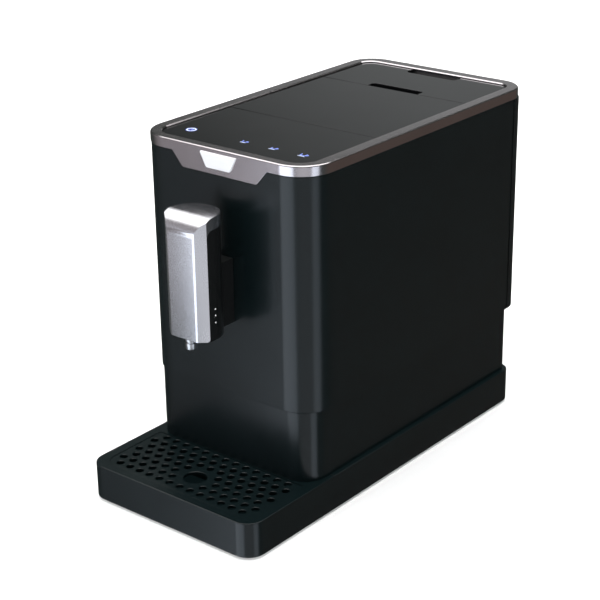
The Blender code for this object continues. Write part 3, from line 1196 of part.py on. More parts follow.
# ---------------------------------------------------------------- electrics
def make_electrics():
    """Circuit board on the frame's wall, mains socket, and the power switch."""
    wall = CELL_HALF - GAP
    board = box("main_board", (wall - CIRCUIT_THICKNESS, wall), (behind(CIRCUIT_FRONT), behind(CIRCUIT_BACK)),
                (BASE_TOP + GAP, BASE_TOP + CIRCUIT_HEIGHT), "circuit_green")
    face = wall - CIRCUIT_THICKNESS
    for i, (near, far, low, depth) in enumerate(CIRCUIT_PARTS):
        join(board, box(f"board_part_{i}", (face - depth, face + CIRCUIT_THICKNESS / 2),
                        (behind(CIRCUIT_FRONT) + near, behind(CIRCUIT_FRONT) + far),
                        (BASE_TOP + low, BASE_TOP + low + CIRCUIT_PART_HEIGHT)))
    low, high = INLET_Z - INLET_HEIGHT / 2, INLET_Z + INLET_HEIGHT / 2
    half = INLET_WIDTH / 2
    inlet = box("power_inlet", (INLET_X - half, INLET_X + half), (SOCKET_FACE - INLET_DEPTH, SOCKET_FACE),
                (low, high), "dark_plastic")
    recess = box("inlet_recess", (INLET_X - half + INLET_WALL, INLET_X + half - INLET_WALL),
                 (SOCKET_FACE - INLET_DEPTH + INLET_FLOOR, SOCKET_FACE + WALL),
                 (low + INLET_WALL, high - INLET_WALL))
    cut(inlet, recess)
    half = SWITCH_WIDTH / 2
    housing = box("switch_housing", (SWITCH_X - half, SWITCH_X + half),
                  (SOCKET_FACE - SWITCH_DEPTH, SOCKET_FACE), (low, high), "dark_plastic")
    inner = half - SWITCH_WALL
    pocket = box("switch_pocket", (SWITCH_X - inner, SWITCH_X + inner),
                 (SOCKET_FACE - SWITCH_POCKET, SOCKET_FACE + WALL), (low + SWITCH_WALL, high - SWITCH_WALL))
    cut(housing, pocket)
    length = INLET_HEIGHT / 2 - ROCKER_END_GAP
    pivot = (SWITCH_X, SOCKET_FACE - ROCKER_SINK, INLET_Z)
    tilt = math.radians(SWITCH_TILT)
    outline = []
    for along, depth in ((-length, ROCKER_EDGE), (-length, -ROCKER_BACK), (length, -ROCKER_BACK),
                         (length, ROCKER_EDGE), (0, ROCKER_CREST)):
        outline.append((pivot[1] + depth * math.cos(tilt) - along * math.sin(tilt),
                        pivot[2] + depth * math.sin(tilt) + along * math.cos(tilt)))
    rocker = prism("power_rocker", outline, SWITCH_X - inner + GAP, SWITCH_X + inner - GAP,
                   "dark_plastic", along="x", pivot=pivot)
    carry(slide_or_pivot("rocker_pivot", pivot), rocker)


# ---------------------------------------------------------------- the machine
def main():
    for obj in list(bpy.data.objects):
        bpy.data.objects.remove(obj, do_unlink=True)
    for name in MATERIALS:
        MADE[name] = make_material(name)
    make_base()
    make_lower_shell()
    make_front_cover()
    make_side_covers()
    make_rear_cover()
    make_rim()
    make_deck()
    make_frame()
    make_drawer()
    make_spout()
    make_hopper()
    make_grinder()
    make_chute()
    make_brew_unit()
    make_tank(make_panels())
    make_water_path()
    make_electrics()


main()
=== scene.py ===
"""Looks of the slim bean-to-cup coffee machine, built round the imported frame.

Metres, in the frame's own axes: +Z up, the front of the machine faces -Y.
"""

import json
import math

import bmesh
import bpy
from mathutils import Matrix, Vector

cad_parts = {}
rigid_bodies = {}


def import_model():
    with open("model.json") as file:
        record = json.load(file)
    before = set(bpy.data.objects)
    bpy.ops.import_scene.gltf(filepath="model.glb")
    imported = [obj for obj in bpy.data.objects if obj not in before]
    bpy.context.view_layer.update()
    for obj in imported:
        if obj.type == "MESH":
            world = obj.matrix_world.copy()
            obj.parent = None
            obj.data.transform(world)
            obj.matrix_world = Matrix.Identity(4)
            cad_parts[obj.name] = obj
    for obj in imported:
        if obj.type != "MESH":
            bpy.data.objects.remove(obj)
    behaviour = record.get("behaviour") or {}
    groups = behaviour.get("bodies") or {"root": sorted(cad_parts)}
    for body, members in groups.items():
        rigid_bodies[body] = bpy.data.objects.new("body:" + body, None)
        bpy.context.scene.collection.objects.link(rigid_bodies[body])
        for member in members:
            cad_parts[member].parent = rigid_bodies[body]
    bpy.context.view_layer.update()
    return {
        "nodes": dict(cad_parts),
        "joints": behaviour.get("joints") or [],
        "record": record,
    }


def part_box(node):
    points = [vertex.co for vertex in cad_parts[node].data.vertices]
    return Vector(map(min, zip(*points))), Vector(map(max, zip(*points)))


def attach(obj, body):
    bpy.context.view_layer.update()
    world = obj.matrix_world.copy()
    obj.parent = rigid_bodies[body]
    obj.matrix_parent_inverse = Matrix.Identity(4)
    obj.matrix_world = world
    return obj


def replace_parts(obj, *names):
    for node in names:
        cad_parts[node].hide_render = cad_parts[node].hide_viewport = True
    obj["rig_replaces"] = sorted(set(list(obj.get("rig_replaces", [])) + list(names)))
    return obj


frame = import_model()

MM = 0.001
GAP = 0.0003             # joint lines between neighbouring pieces
SLOTS = {row["node"]: row["material_slot"] for row in frame["record"]["subparts"]}
BODY_OF = {node: body for body, nodes in frame["record"]["behaviour"]["bodies"].items() for node in nodes}
ROOT = frame["joints"][0]["parent"]


# ---------------------------------------------------------------- places from the frame
class Box:
    """Limits of a CAD node: x0, x1, y0, y1, z0, z1."""

    def __init__(self, node):
        low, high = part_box(node)
        self.x0, self.y0, self.z0 = low
        self.x1, self.y1, self.z1 = high
        self.cx, self.cy, self.cz = [(a + b) / 2 for a, b in zip(low, high)]


RIM = Box("top_rim")
COVER = Box("front_cover")
SIDE = Box("right_side_cover")
REAR = Box("rear_cover")
SHELL = Box("lower_shell")
PANEL = Box("lower_front_panel")
BASE = Box("base_housing")
TRAY = Box("drip_tray")
GRILLE = Box("drip_grille")
TOUCH = Box("touch_panel")
BEANS = Box("bean_lid")
TANKLID = Box("tank_lid")
HOOD = Box("spout_hood")
SLIDER = Box("spout_slider")
NOZZLE = Box("spout_nozzle")
DUCT = Box("coffee_duct")
FRONT = COVER.y0
WALL = 2.5 * MM
RIM_BOTTOM = COVER.z1 + GAP

# Corner radii, seen from above.
RIM_RADIUS = 29 * MM
RIM_BACK_RADIUS = 25 * MM
COVER_RADIUS = 28.5 * MM
REAR_RADIUS = 20 * MM
LOWER_RADIUS = 22 * MM
LOWER_BACK_RADIUS = 14 * MM
BASE_RADIUS = 16 * MM
OPENING_RADIUS = 17 * MM
OPENING_BACK_RADIUS = 12 * MM

PANEL_SEAM = 0.4 * MM    # between the glass panels and the rim
APRON_SLOPE = 10.5 / 12.4     # the apron's half width grows by this share of its height
APRON_LOW_HALF = 38.9 * MM
APRON_HIGH_HALF = 49.4 * MM   # where the apron meets the rim
POCKET_GROW = 0.3 * MM   # the cover's pocket round the apron
RUNNER_HALF = 74.7 * MM
RUNNER_WALL = 3.2 * MM
SPOUT_CENTRE = FRONT - 33 * MM   # middle of the spout's half-round back
SHOULDER = FRONT - 41 * MM       # back end of the hood's chamfers
REACH = 2 * MM           # how far a cutting tool passes the face it cuts
SMOOTH_ANGLE = 35        # degrees; sharper edges stay sharp in the shading


# ---------------------------------------------------------------- outlines
def arc(cx, cy, radius, start, end, steps):
    """Points along an arc; angles in degrees, both ends included."""
    turns = [math.radians(start + (end - start) * i / steps) for i in range(steps + 1)]
    return [(cx + radius * math.cos(t), cy + radius * math.sin(t)) for t in turns]


def corner(cx, cy, x_side, y_side, radius, steps):
    """Stations (point, inward normal) round one convex corner, counter-clockwise."""
    start = {(-1, -1): 180, (1, -1): 270, (1, 1): 0, (-1, 1): 90}[(x_side, y_side)]
    if radius <= 0:
        return [((cx, cy), (-x_side, -y_side))]
    mid_x, mid_y = cx - x_side * radius, cy - y_side * radius
    stations = []
    for i in range(steps + 1):
        t = math.radians(start + 90 * i / steps)
        c, s = math.cos(t), math.sin(t)
        stations.append(((mid_x + radius * c, mid_y + radius * s), (-c, -s)))
    return stations


def loop(x0, x1, y0, y1, front=0.0, back=0.0, steps=12):
    """Closed rounded rectangle as stations, counter-clockwise from the front left."""
    return (corner(x0, y0, -1, -1, front, steps) + corner(x1, y0, 1, -1, front, steps)
            + corner(x1, y1, 1, 1, back, steps) + corner(x0, y1, -1, 1, back, steps))


def front_run(half, y_front, y_end, radius, steps=16):
    """Open U round the front, from the left side's back end to the right side's."""
    return ([((-half, y_end), (1, 0))] + corner(-half, y_front, -1, -1, radius, steps)
            + corner(half, y_front, 1, -1, radius, steps) + [((half, y_end), (-1, 0))])


def back_run(half, y_start, y_back, radius, steps=14):
    """Open U round the back, from the right side's front end to the left side's."""
    return ([((half, y_start), (-1, 0))] + corner(half, y_back, 1, 1, radius, steps)
            + corner(-half, y_back, -1, 1, radius, steps) + [((-half, y_start), (1, 0))])


def inset(stations, distance):
    """Outline points of the stations, moved inwards by a distance."""
    return [(x + nx * distance, y + ny * distance) for (x, y), (nx, ny) in stations]


def lower_edge(radius, low, steps):
    """(inset, height) pairs round a bottom edge, upwards."""
    turns = [math.pi / 2 * k / steps for k in range(steps + 1)]
    return [(radius * (1 - math.sin(t)), low + radius * (1 - math.cos(t))) for t in turns]


def upper_edge(radius, high, steps):
    """(inset, height) pairs round a top edge, upwards."""
    turns = [math.pi / 2 * k / steps for k in range(steps + 1)]
    return [(radius * (1 - math.cos(t)), high - radius * (1 - math.sin(t))) for t in turns]


def soften(points, radius, steps=3, sharp=()):
    """Rounds the corners of a closed polygon, apart from the indices in sharp."""
    result = []
    count = len(points)
    for i, point in enumerate(points):
        here = Vector(point)
        before = Vector(points[i - 1]) - here
        after = Vector(points[(i + 1) % count]) - here
        reach = min(radius, 0.45 * before.length, 0.45 * after.length)
        if i in sharp or reach <= 0:
            result.append(tuple(here))
            continue
        a, b = here + before.normalized() * reach, here + after.normalized() * reach
        for k in range(steps + 1):
            t = k / steps
            spot = a * (1 - t) ** 2 + here * (2 * t * (1 - t)) + b * t * t
            result.append(tuple(spot))
    return result


def shrink(points, distance):
    """Closed counter-clockwise polygon moved inwards by a distance."""
    result = []
    count = len(points)
    least = 0.3          # keeps the mitre short at needle corners
    for i, point in enumerate(points):
        here, before, after = Vector(point), Vector(points[i - 1]), Vector(points[(i + 1) % count])
        a, b = (here - before).normalized(), (after - here).normalized()
        mitre = Vector((-a.y, a.x)) + Vector((-b.y, b.x))
        result.append(tuple(here + mitre * (distance / max(least, mitre.length_squared / 2))))
    return result


# ---------------------------------------------------------------- meshes
PLACES = {    # where outline coordinates (a, b) and a height h lie on the frame's axes
    "x": lambda a, b, h: (h, a, b),
    "y": lambda a, b, h: (a, h, b),
    "z": lambda a, b, h: (a, b, h),
}


def new_piece(name, bm, material, body, smooth_angle=SMOOTH_ANGLE):
    """Object from a bmesh, smooth shaded, riding on a body."""
    bmesh.ops.remove_doubles(bm, verts=bm.verts, dist=1e-7)
    bmesh.ops.recalc_face_normals(bm, faces=bm.faces)
    mesh = bpy.data.meshes.new(name)
    bm.to_mesh(mesh)
    bm.free()
    mesh.shade_smooth()
    mesh.set_sharp_from_angle(angle=math.radians(smooth_angle))
    obj = bpy.data.objects.new(name, mesh)
    bpy.context.scene.collection.objects.link(obj)
    if material:
        mesh.materials.append(material)
    if body:
        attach(obj, body)
    return obj


def bridge(bm, rings, closed_ring=True, closed_stack=False):
    """Quads between neighbouring rings of vertices."""
    stack = len(rings) if closed_stack else len(rings) - 1
    for k in range(stack):
        ring, after = rings[k], rings[(k + 1) % len(rings)]
        count = len(ring) if closed_ring else len(ring) - 1
        for i in range(count):
            j = (i + 1) % len(ring)
            bm.faces.new((ring[i], ring[j], after[j], after[i]))


def cap(bm, rings):
    """Faces over the first and the last ring."""
    bm.faces.new(rings[0][::-1])
    bm.faces.new(rings[-1])


def loft(name, loops, material, body, closed_stack=False):
    """Skin over (outline points, height) loops: capped at both ends, or closed on itself."""
    bm = bmesh.new()
    rings = [[bm.verts.new((x, y, z)) for x, y in outline] for outline, z in loops]
    bridge(bm, rings, True, closed_stack)
    if not closed_stack:
        cap(bm, rings)
    return new_piece(name, bm, material, body)


def rounded_slab(name, stations, z0, z1, material, body, top=0.5 * MM, bottom=0.3 * MM, steps=3):
    """Slab over a closed run of stations, with rounded top and bottom edges."""
    levels = lower_edge(bottom, z0, steps) + upper_edge(top, z1, steps)
    return loft(name, [(inset(stations, distance), z) for distance, z in levels], material, body)


def sweep(name, stations, profile, material, body):
    """Closed (depth, height) profile carried along stations; depth runs inward."""
    bm = bmesh.new()
    rings = []
    for (x, y), (nx, ny) in stations:
        rings.append([bm.verts.new((x + nx * d, y + ny * d, z)) for d, z in profile])
    bridge(bm, rings)
    cap(bm, rings)
    return new_piece(name, bm, material, body)


def extrude(name, outline, low, high, material=None, body=None, along="z"):
    """Closed outline pushed along an axis."""
    place = PLACES[along]
    bm = bmesh.new()
    rings = [[bm.verts.new(place(a, b, h)) for a, b in outline] for h in (low, high)]
    bridge(bm, rings)
    cap(bm, rings)
    return new_piece(name, bm, material, body)


def slab(name, outline, low, high, material=None, body=None, top=0.4 * MM, bottom=0.2 * MM, steps=3,
         along="z"):
    """Polygon pushed along an axis, with rounded edges at both ends."""
    place = PLACES[along]
    bm = bmesh.new()
    rings = []
    for distance, height in lower_edge(bottom, low, steps) + upper_edge(top, high, steps):
        rings.append([bm.verts.new(place(a, b, height)) for a, b in shrink(outline, distance)])
    bridge(bm, rings)
    cap(bm, rings)
    return new_piece(name, bm, material, body)


def block(x0, x1, y0, y1, z0, z1):
    """Tool that cuts or joins downwards."""
    return extrude("block", [(x0, y0), (x1, y0), (x1, y1), (x0, y1)], z0, z1)


def window(name, x0, x1, z0, z1, y0, y1):
    """Tool that cuts through an upright wall."""
    return extrude(name, [(x0, z0), (x1, z0), (x1, z1), (x0, z1)], y0, y1, along="y")


def circle(bm, centre, radius, height, steps, along="z"):
    """Ring of vertices round an axis through the centre."""
    place = PLACES[along]
    turns = [2 * math.pi * i / steps for i in range(steps)]
    return [bm.verts.new(place(centre[0] + radius * math.cos(t), centre[1] + radius * math.sin(t), height))
            for t in turns]


def turned(name, profile, centre, material=None, body=None, along="z", steps=48, solid=True):
    """(radius, height) profile turned about an axis through the centre."""
    bm = bmesh.new()
    rings = [circle(bm, centre, radius, height, steps, along) for radius, height in profile]
    bridge(bm, rings, True, not solid)
    if solid:
        cap(bm, rings)
    return new_piece(name, bm, material, body, 40)


def apply_boolean(piece, tools, operation="DIFFERENCE"):
    """Cuts, joins or intersects for good, and removes the tools."""
    for tool in tools:
        modifier = piece.modifiers.new("boolean", "BOOLEAN")
        modifier.operation = operation
        modifier.solver = "EXACT"
        modifier.object = tool
    graph = bpy.context.evaluated_depsgraph_get()
    mesh = bpy.data.meshes.new_from_object(piece.evaluated_get(graph))
    piece.modifiers.clear()
    piece.data = mesh
    for tool in tools:
        bpy.data.objects.remove(tool, do_unlink=True)
    mesh.shade_smooth()
    mesh.set_sharp_from_angle(angle=math.radians(SMOOTH_ANGLE))
    return piece


def bevel(piece, width, angle=38):
    """Rounds the edges sharper than an angle in degrees."""
    modifier = piece.modifiers.new("edge rounding", "BEVEL")
    modifier.width = width
    modifier.segments = 2
    modifier.limit_method = "ANGLE"
    modifier.angle_limit = math.radians(angle)
    modifier.harden_normals = True
    return piece


def even_normals(piece):
    """Keeps broad flats flat beside small fillets."""
    modifier = piece.modifiers.new("flat faces", "WEIGHTED_NORMAL")
    modifier.keep_sharp = True
    modifier.weight = 80
    return piece


def stands_for(piece, node):
    """The piece takes a CAD node's place."""
    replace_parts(piece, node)
    return piece


# ---------------------------------------------------------------- materials
def surface(name, colour, roughness, metallic=0.0, grain=0.0, grain_size=0.3 * MM, stretch=(1, 1, 1),
            mottle=0.12, wear=0.05, **sockets):
    """Principled surface whose colour, roughness and relief vary as moulded or brushed stock does.

    grain is the relief's strength, grain_size its feature size, and stretch squeezes it
    along an axis for brushed metal.  mottle is the share by which the colour varies.
    """
    material = bpy.data.materials.new(name)
    material.use_nodes = True
    nodes, links = material.node_tree.nodes, material.node_tree.links
    shader = nodes["Principled BSDF"]
    shader.inputs["Metallic"].default_value = metallic
    for socket, value in sockets.items():
        shader.inputs[socket.replace("_", " ")].default_value = value
    place = nodes.new("ShaderNodeTexCoord")
    mapping = nodes.new("ShaderNodeMapping")
    mapping.inputs["Scale"].default_value = stretch
    links.new(place.outputs["Object"], mapping.inputs["Vector"])

    fine = nodes.new("ShaderNodeTexNoise")
    fine.inputs["Scale"].default_value = 1 / grain_size
    fine.inputs["Detail"].default_value = 4
    fine.inputs["Roughness"].default_value = 0.6
    links.new(mapping.outputs["Vector"], fine.inputs["Vector"])

    broad = nodes.new("ShaderNodeTexNoise")
    broad.inputs["Scale"].default_value = 22
    broad.inputs["Detail"].default_value = 3
    links.new(place.outputs["Object"], broad.inputs["Vector"])

    tint = nodes.new("ShaderNodeValToRGB")
    low = [c * (1 - mottle) for c in colour]
    high = [min(1.0, c * (1 + mottle)) for c in colour]
    tint.color_ramp.elements[0].color = (*low, 1)
    tint.color_ramp.elements[1].color = (*high, 1)
    tint.color_ramp.elements[0].position = 0.35
    tint.color_ramp.elements[1].position = 0.65
    blend = nodes.new("ShaderNodeMath")
    blend.operation = "MULTIPLY_ADD"
    blend.inputs[1].default_value = 0.5
    links.new(broad.outputs["Fac"], blend.inputs[0])
    half = nodes.new("ShaderNodeMath")
    half.operation = "MULTIPLY"
    half.inputs[1].default_value = 0.5
    links.new(fine.outputs["Fac"], half.inputs[0])
    links.new(half.outputs[0], blend.inputs[2])
    links.new(blend.outputs[0], tint.inputs["Fac"])
    links.new(tint.outputs["Color"], shader.inputs["Base Color"])

    gloss = nodes.new("ShaderNodeMapRange")
    gloss.inputs["To Min"].default_value = max(0.0, roughness - wear)
    gloss.inputs["To Max"].default_value = min(1.0, roughness + wear)
    links.new(blend.outputs[0], gloss.inputs["Value"])
    links.new(gloss.outputs["Result"], shader.inputs["Roughness"])

    if grain:
        relief = nodes.new("ShaderNodeBump")
        relief.inputs["Strength"].default_value = grain
        relief.inputs["Distance"].default_value = 0.05 * MM
        links.new(fine.outputs["Fac"], relief.inputs["Height"])
        links.new(relief.outputs["Normal"], shader.inputs["Normal"])
    return material


def glowing(name, colour, strength):
    """Lit key symbol behind a printed diffuser, a little brighter in places."""
    material = bpy.data.materials.new(name)
    material.use_nodes = True
    nodes, links = material.node_tree.nodes, material.node_tree.links
    shader = nodes["Principled BSDF"]
    shader.inputs["Emission Strength"].default_value = strength
    noise = nodes.new("ShaderNodeTexNoise")
    noise.inputs["Scale"].default_value = 600
    tint = nodes.new("ShaderNodeValToRGB")
    tint.color_ramp.elements[0].color = (*[c * 0.75 for c in colour], 1)
    tint.color_ramp.elements[1].color = (*colour, 1)
    place = nodes.new("ShaderNodeTexCoord")
    links.new(place.outputs["Object"], noise.inputs["Vector"])
    links.new(noise.outputs["Fac"], tint.inputs["Fac"])
    links.new(tint.outputs["Color"], shader.inputs["Emission Color"])
    links.new(tint.outputs["Color"], shader.inputs["Base Color"])
    return material


LOOKS = {
    "satin_black": surface("satin_black", (0.0026, 0.0060, 0.0066), 0.25, grain=0.2, grain_size=0.35 * MM,
                           wear=0.04, Specular_IOR_Level=0.44),
    "dark_plastic": surface("dark_plastic", (0.004, 0.0045, 0.0045), 0.42, grain=0.3,
                            grain_size=0.4 * MM),
    "glass_black": surface("glass_black", (0.004, 0.004, 0.0045), 0.045, mottle=0.3, wear=0.015,
                           Coat_Weight=0.3, Coat_Roughness=0.03),
    "satin_metal": surface("satin_metal", (0.63, 0.585, 0.60), 0.20, metallic=1.0, grain=0.12,
                           grain_size=0.25 * MM, stretch=(0.06, 0.06, 1.0), mottle=0.06),
    "silver_paint": surface("silver_paint", (0.84, 0.83, 0.86), 0.27, metallic=1.0, grain=0.15,
                            grain_size=0.2 * MM, stretch=(1.0, 1.0, 0.12), mottle=0.05),
    "badge_silver": surface("badge_silver", (0.95, 0.95, 0.97), 0.32, metallic=0.15, grain=0.1,
                            grain_size=0.2 * MM, mottle=0.04),
    "rubber": surface("rubber", (0.015, 0.015, 0.015), 0.8, grain=0.6, grain_size=0.5 * MM),
    "frame_plastic": surface("frame_plastic", (0.05, 0.05, 0.055), 0.55, grain=0.3,
                             grain_size=0.5 * MM),
    "smoke_plastic": surface("smoke_plastic", (0.16, 0.17, 0.18), 0.12, grain=0.05, grain_size=1.5 * MM,
                             mottle=0.1, Transmission_Weight=0.85, IOR=1.5),
    "steel": surface("steel", (0.58, 0.58, 0.59), 0.28, metallic=1.0, grain=0.15, grain_size=0.2 * MM,
                     stretch=(1.0, 1.0, 0.1), mottle=0.08),
    "cast_alloy": surface("cast_alloy", (0.42, 0.42, 0.43), 0.5, metallic=0.9, grain=0.6,
                          grain_size=0.8 * MM),
    "brass": surface("brass", (0.60, 0.44, 0.17), 0.3, metallic=1.0, grain=0.15,
                     grain_size=0.2 * MM),
    "white_plastic": surface("white_plastic", (0.66, 0.66, 0.63), 0.4, grain=0.2, grain_size=0.5 * MM),
    "circuit_green": surface("circuit_green", (0.02, 0.13, 0.05), 0.4, grain=0.3,
                             grain_size=0.9 * MM, mottle=0.4),
    "silicone": surface("silicone", (0.50, 0.48, 0.45), 0.5, grain=0.15, grain_size=0.6 * MM,
                        Subsurface_Weight=0.1),
}


# ---------------------------------------------------------------- carried-over CAD nodes
for node, obj in frame["nodes"].items():
    obj.data.materials.clear()
    obj.data.materials.append(LOOKS[SLOTS[node]])


def softened(node, width):
    """Copy of a CAD solid with its edges rounded, in the solid's place."""
    piece = bpy.data.objects.new(node + "_moulded", frame["nodes"][node].data.copy())
    bpy.context.scene.collection.objects.link(piece)
    piece.data.materials.clear()
    piece.data.materials.append(LOOKS[SLOTS[node]])
    piece.data.shade_smooth()
    piece.data.set_sharp_from_angle(angle=math.radians(SMOOTH_ANGLE))
    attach(piece, BODY_OF[node])
    bevel(piece, width)
    return stands_for(piece, node)


# ---------------------------------------------------------------- metal rim and badge
def flared(half_low, low, half_high, high):
    """Outline that widens upwards, as the apron and the badge do."""
    return [(-half_low, low), (half_low, low), (half_high, high), (-half_high, high)]


def make_rim():
    """Rim with a rounded outer edge, a small inner chamfer and the apron in front."""
    steps, round_over, chamfer, lip = 20, 1.5 * MM, 0.8 * MM, 0.4 * MM
    outer = loop(RIM.x0, RIM.x1, RIM.y0, RIM.y1, RIM_RADIUS, RIM_BACK_RADIUS, steps)
    inner = loop(TOUCH.x0 - PANEL_SEAM, TOUCH.x1 + PANEL_SEAM, TOUCH.y0 - PANEL_SEAM,
                 TANKLID.y1 + PANEL_SEAM, OPENING_RADIUS, OPENING_BACK_RADIUS, steps)
    z0, z1 = RIM_BOTTOM, RIM.z1
    loops = [(inset(outer, lip), z0), (inset(outer, lip / 4), z0 + lip / 4), (inset(outer, 0), z0 + lip)]
    loops += [(inset(outer, distance), z) for distance, z in upper_edge(round_over, z1, 6)]
    loops += [(inset(inner, -chamfer), z1), (inset(inner, 0), z1 - chamfer), (inset(inner, 0), z0)]
    ring = loft("rim_ring", loops, LOOKS["satin_metal"], None, closed_stack=True)

    overlap = 3.0 * MM       # how far the apron runs up into the rim
    thickness = 1.2 * MM     # behind the cover's face
    bottom, top = RIM.z0, z0 + overlap
    half_high = APRON_HIGH_HALF + APRON_SLOPE * overlap
    half_low = APRON_LOW_HALF
    outline = soften(flared(half_low, bottom, half_high, top), 1.6 * MM, 4, sharp=(2, 3))
    apron = slab("apron", outline, RIM.y0, FRONT + thickness, top=0.2 * MM, bottom=0.35 * MM, along="y")
    rim = apply_boolean(ring, [apron], "UNION")
    rim.name = "brushed_rim"
    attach(rim, ROOT)
    even_normals(rim)
    stands_for(rim, "top_rim")


def make_badge():
    """Blank badge plate with a bevelled edge."""
    badge = Box("badge")
    half_low, half_high = 12.4 * MM, 18.8 * MM
    sunk = 0.2 * MM
    outline = soften(flared(half_low, badge.z0, half_high, badge.z1), 1.3 * MM, 4)
    plate = slab("badge_plate", outline, badge.y0, RIM.y0 + sunk, LOOKS["badge_silver"], ROOT,
                 top=0.1 * MM, bottom=0.55 * MM, steps=4, along="y")
    even_normals(plate)
    stands_for(plate, "badge")


# ---------------------------------------------------------------- glass panels
def make_panels():
    """Touch panel, bean lid, and tank lid with its two finger recesses."""
    corner_radius = OPENING_RADIUS - PANEL_SEAM
    ease = 0.3 * MM      # edges drawn back from the seams, and rounded by as much
    edge = loop(TOUCH.x0, TOUCH.x1, TOUCH.y0, TOUCH.y1 - ease, corner_radius, 0, 14)
    touch = rounded_slab("touch_glass", edge,
                         TOUCH.z0, TOUCH.z1, LOOKS["glass_black"], ROOT, top=ease)
    stands_for(even_normals(touch), "touch_panel")
    beans = rounded_slab("bean_lid_glass", loop(BEANS.x0, BEANS.x1, BEANS.y0 + ease, BEANS.y1 - ease, 0, 0),
                         BEANS.z0, BEANS.z1, LOOKS["glass_black"], BODY_OF["bean_lid"], top=ease)
    stands_for(even_normals(beans), "bean_lid")

    grip, front_end, back_end = 27 * MM, TANKLID.y0 + 9.8 * MM, TANKLID.y1 - 11.6 * MM
    half, radius = TANKLID.x1, OPENING_BACK_RADIUS - PANEL_SEAM
    near, far = TANKLID.y0 + ease, TANKLID.y1
    outline = soften([(-half, near), (-grip, near), (-grip, front_end), (grip, front_end), (grip, near),
                      (half, near)], 4 * MM, 6, sharp=(0, 1, 4, 5))
    outline += arc(half - radius, far - radius, radius, 0, 90, 14)
    outline += soften([(grip, far), (grip, back_end), (-grip, back_end), (-grip, far)],
                      5 * MM, 6, sharp=(0, 3))
    outline += arc(-half + radius, far - radius, radius, 90, 180, 14)
    lid = slab("tank_lid_glass", outline, TANKLID.z0, TANKLID.z1, LOOKS["glass_black"], BODY_OF["tank_lid"],
               top=ease)
    stands_for(even_normals(lid), "tank_lid")


def flat_shape(name, outline, height, material, hole=None):
    """Thin printed shape on the glass; hole is an inner outline of equal length."""
    thickness = 0.05 * MM
    loops = [(outline, height), (outline, height + thickness)]
    if hole:
        loops += [(hole, height + thickness), (hole, height)]
    return loft(name, loops, material, ROOT, closed_stack=hole is not None)


def ring_points(cx, cy, radius, steps=40):
    """Full circle, without the last point that would repeat the first."""
    return arc(cx, cy, radius, 0, 360, steps)[:-1]


def stroke(points, width):
    """Outline of a line drawn with a width."""
    left, right = [], []
    for i, point in enumerate(points):
        before = Vector(points[max(i - 1, 0)])
        after = Vector(points[min(i + 1, len(points) - 1)])
        along = (after - before).normalized()
        side = Vector((-along.y, along.x)) * width / 2
        left.append(tuple(Vector(point) + side))
        right.append(tuple(Vector(point) - side))
    return left + right[::-1]


def make_symbols():
    """Lit key symbols: an on/off ring and three cups, small, middle and large."""
    lit = glowing("lit_symbol", (0.25, 0.34, 0.95), 0.75)
    core = glowing("lit_core", (0.66, 0.74, 1.0), 0.8)
    halo = glowing("lit_halo", (0.02, 0.03, 0.20), 0.4)
    low = TOUCH.z1 - 0.02 * MM
    top = low + 0.03 * MM
    row, x = FRONT + 32.5 * MM, -58.5 * MM
    pieces = [
        flat_shape("power_halo", ring_points(x, row, 5.0 * MM), low, halo, ring_points(x, row, 1.0 * MM)),
        flat_shape("power_ring", ring_points(x, row, 4.2 * MM), top, core, ring_points(x, row, 3.3 * MM)),
        flat_shape("power_bar", stroke([(x, row + 0.2 * MM), (x, row + 3.4 * MM)], 0.8 * MM), top, lit),
    ]
    cups = ("small", -0.8 * MM, 0.85), ("middle", 29.5 * MM, 0.95), ("large", 59.5 * MM, 1.05)
    for name, x, size in cups:
        u = size * MM
        for part, width, look, line in (
                ("", 0.65, lit, ((-3.0, 2.2), (-2.4, -1.6), (1.4, -1.6), (2.0, 2.2))),
                ("_handle", 0.45, lit, ((2.2, 1.4), (3.9, 1.0), (3.7, -0.4), (2.1, -0.9))),
                ("_saucer", 0.55, core, ((-3.8, -2.9), (2.8, -2.9)))):
            points = [(x + a * u, row + b * u) for a, b in line]
            pieces.append(flat_shape(f"cup_{name}{part}", stroke(points, width * u), top, look))


# ---------------------------------------------------------------- upper covers
def cover_profile(z0, z1, flange, depth, top=0.7 * MM, low=0.5 * MM):
    """Wall with a rounded top edge and a turned-in, rounded bottom edge."""
    return (lower_edge(low, z0, 3) + upper_edge(top, z1, 4)
            + [(WALL, z1), (WALL, z0 + flange), (depth, z0 + flange), (depth, z0)])


def screw_nodes():
    return [f"cover_screw_{end}_{hand}" for end in ("lower", "upper") for hand in ("left", "right")]


def make_front_cover(profile):
    """Cover round the front, with a pocket for the apron and a hole for the coffee duct."""
    front = sweep("front_cover_shell", front_run(COVER.x1, FRONT, COVER.y1, COVER_RADIUS, 20), profile,
                  LOOKS["satin_black"], None)
    bottom, top = RIM.z0 - GAP, COVER.z1 + 1 * MM
    half_low = APRON_LOW_HALF + POCKET_GROW
    half_high = APRON_HIGH_HALF + POCKET_GROW + (top - RIM_BOTTOM) * APRON_SLOPE
    pocket = extrude("pocket", flared(half_low, bottom, half_high, top), FRONT - REACH, FRONT + 1.5 * MM,
                     along="y")
    neck = window("neck", DUCT.x0 - GAP, DUCT.x1 + GAP, DUCT.z0 - GAP, DUCT.z1 + GAP,
                  FRONT - REACH, FRONT + 4 * MM)
    apply_boolean(front, [pocket, neck])
    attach(front, ROOT)
    even_normals(front)
    stands_for(front, "front_cover")


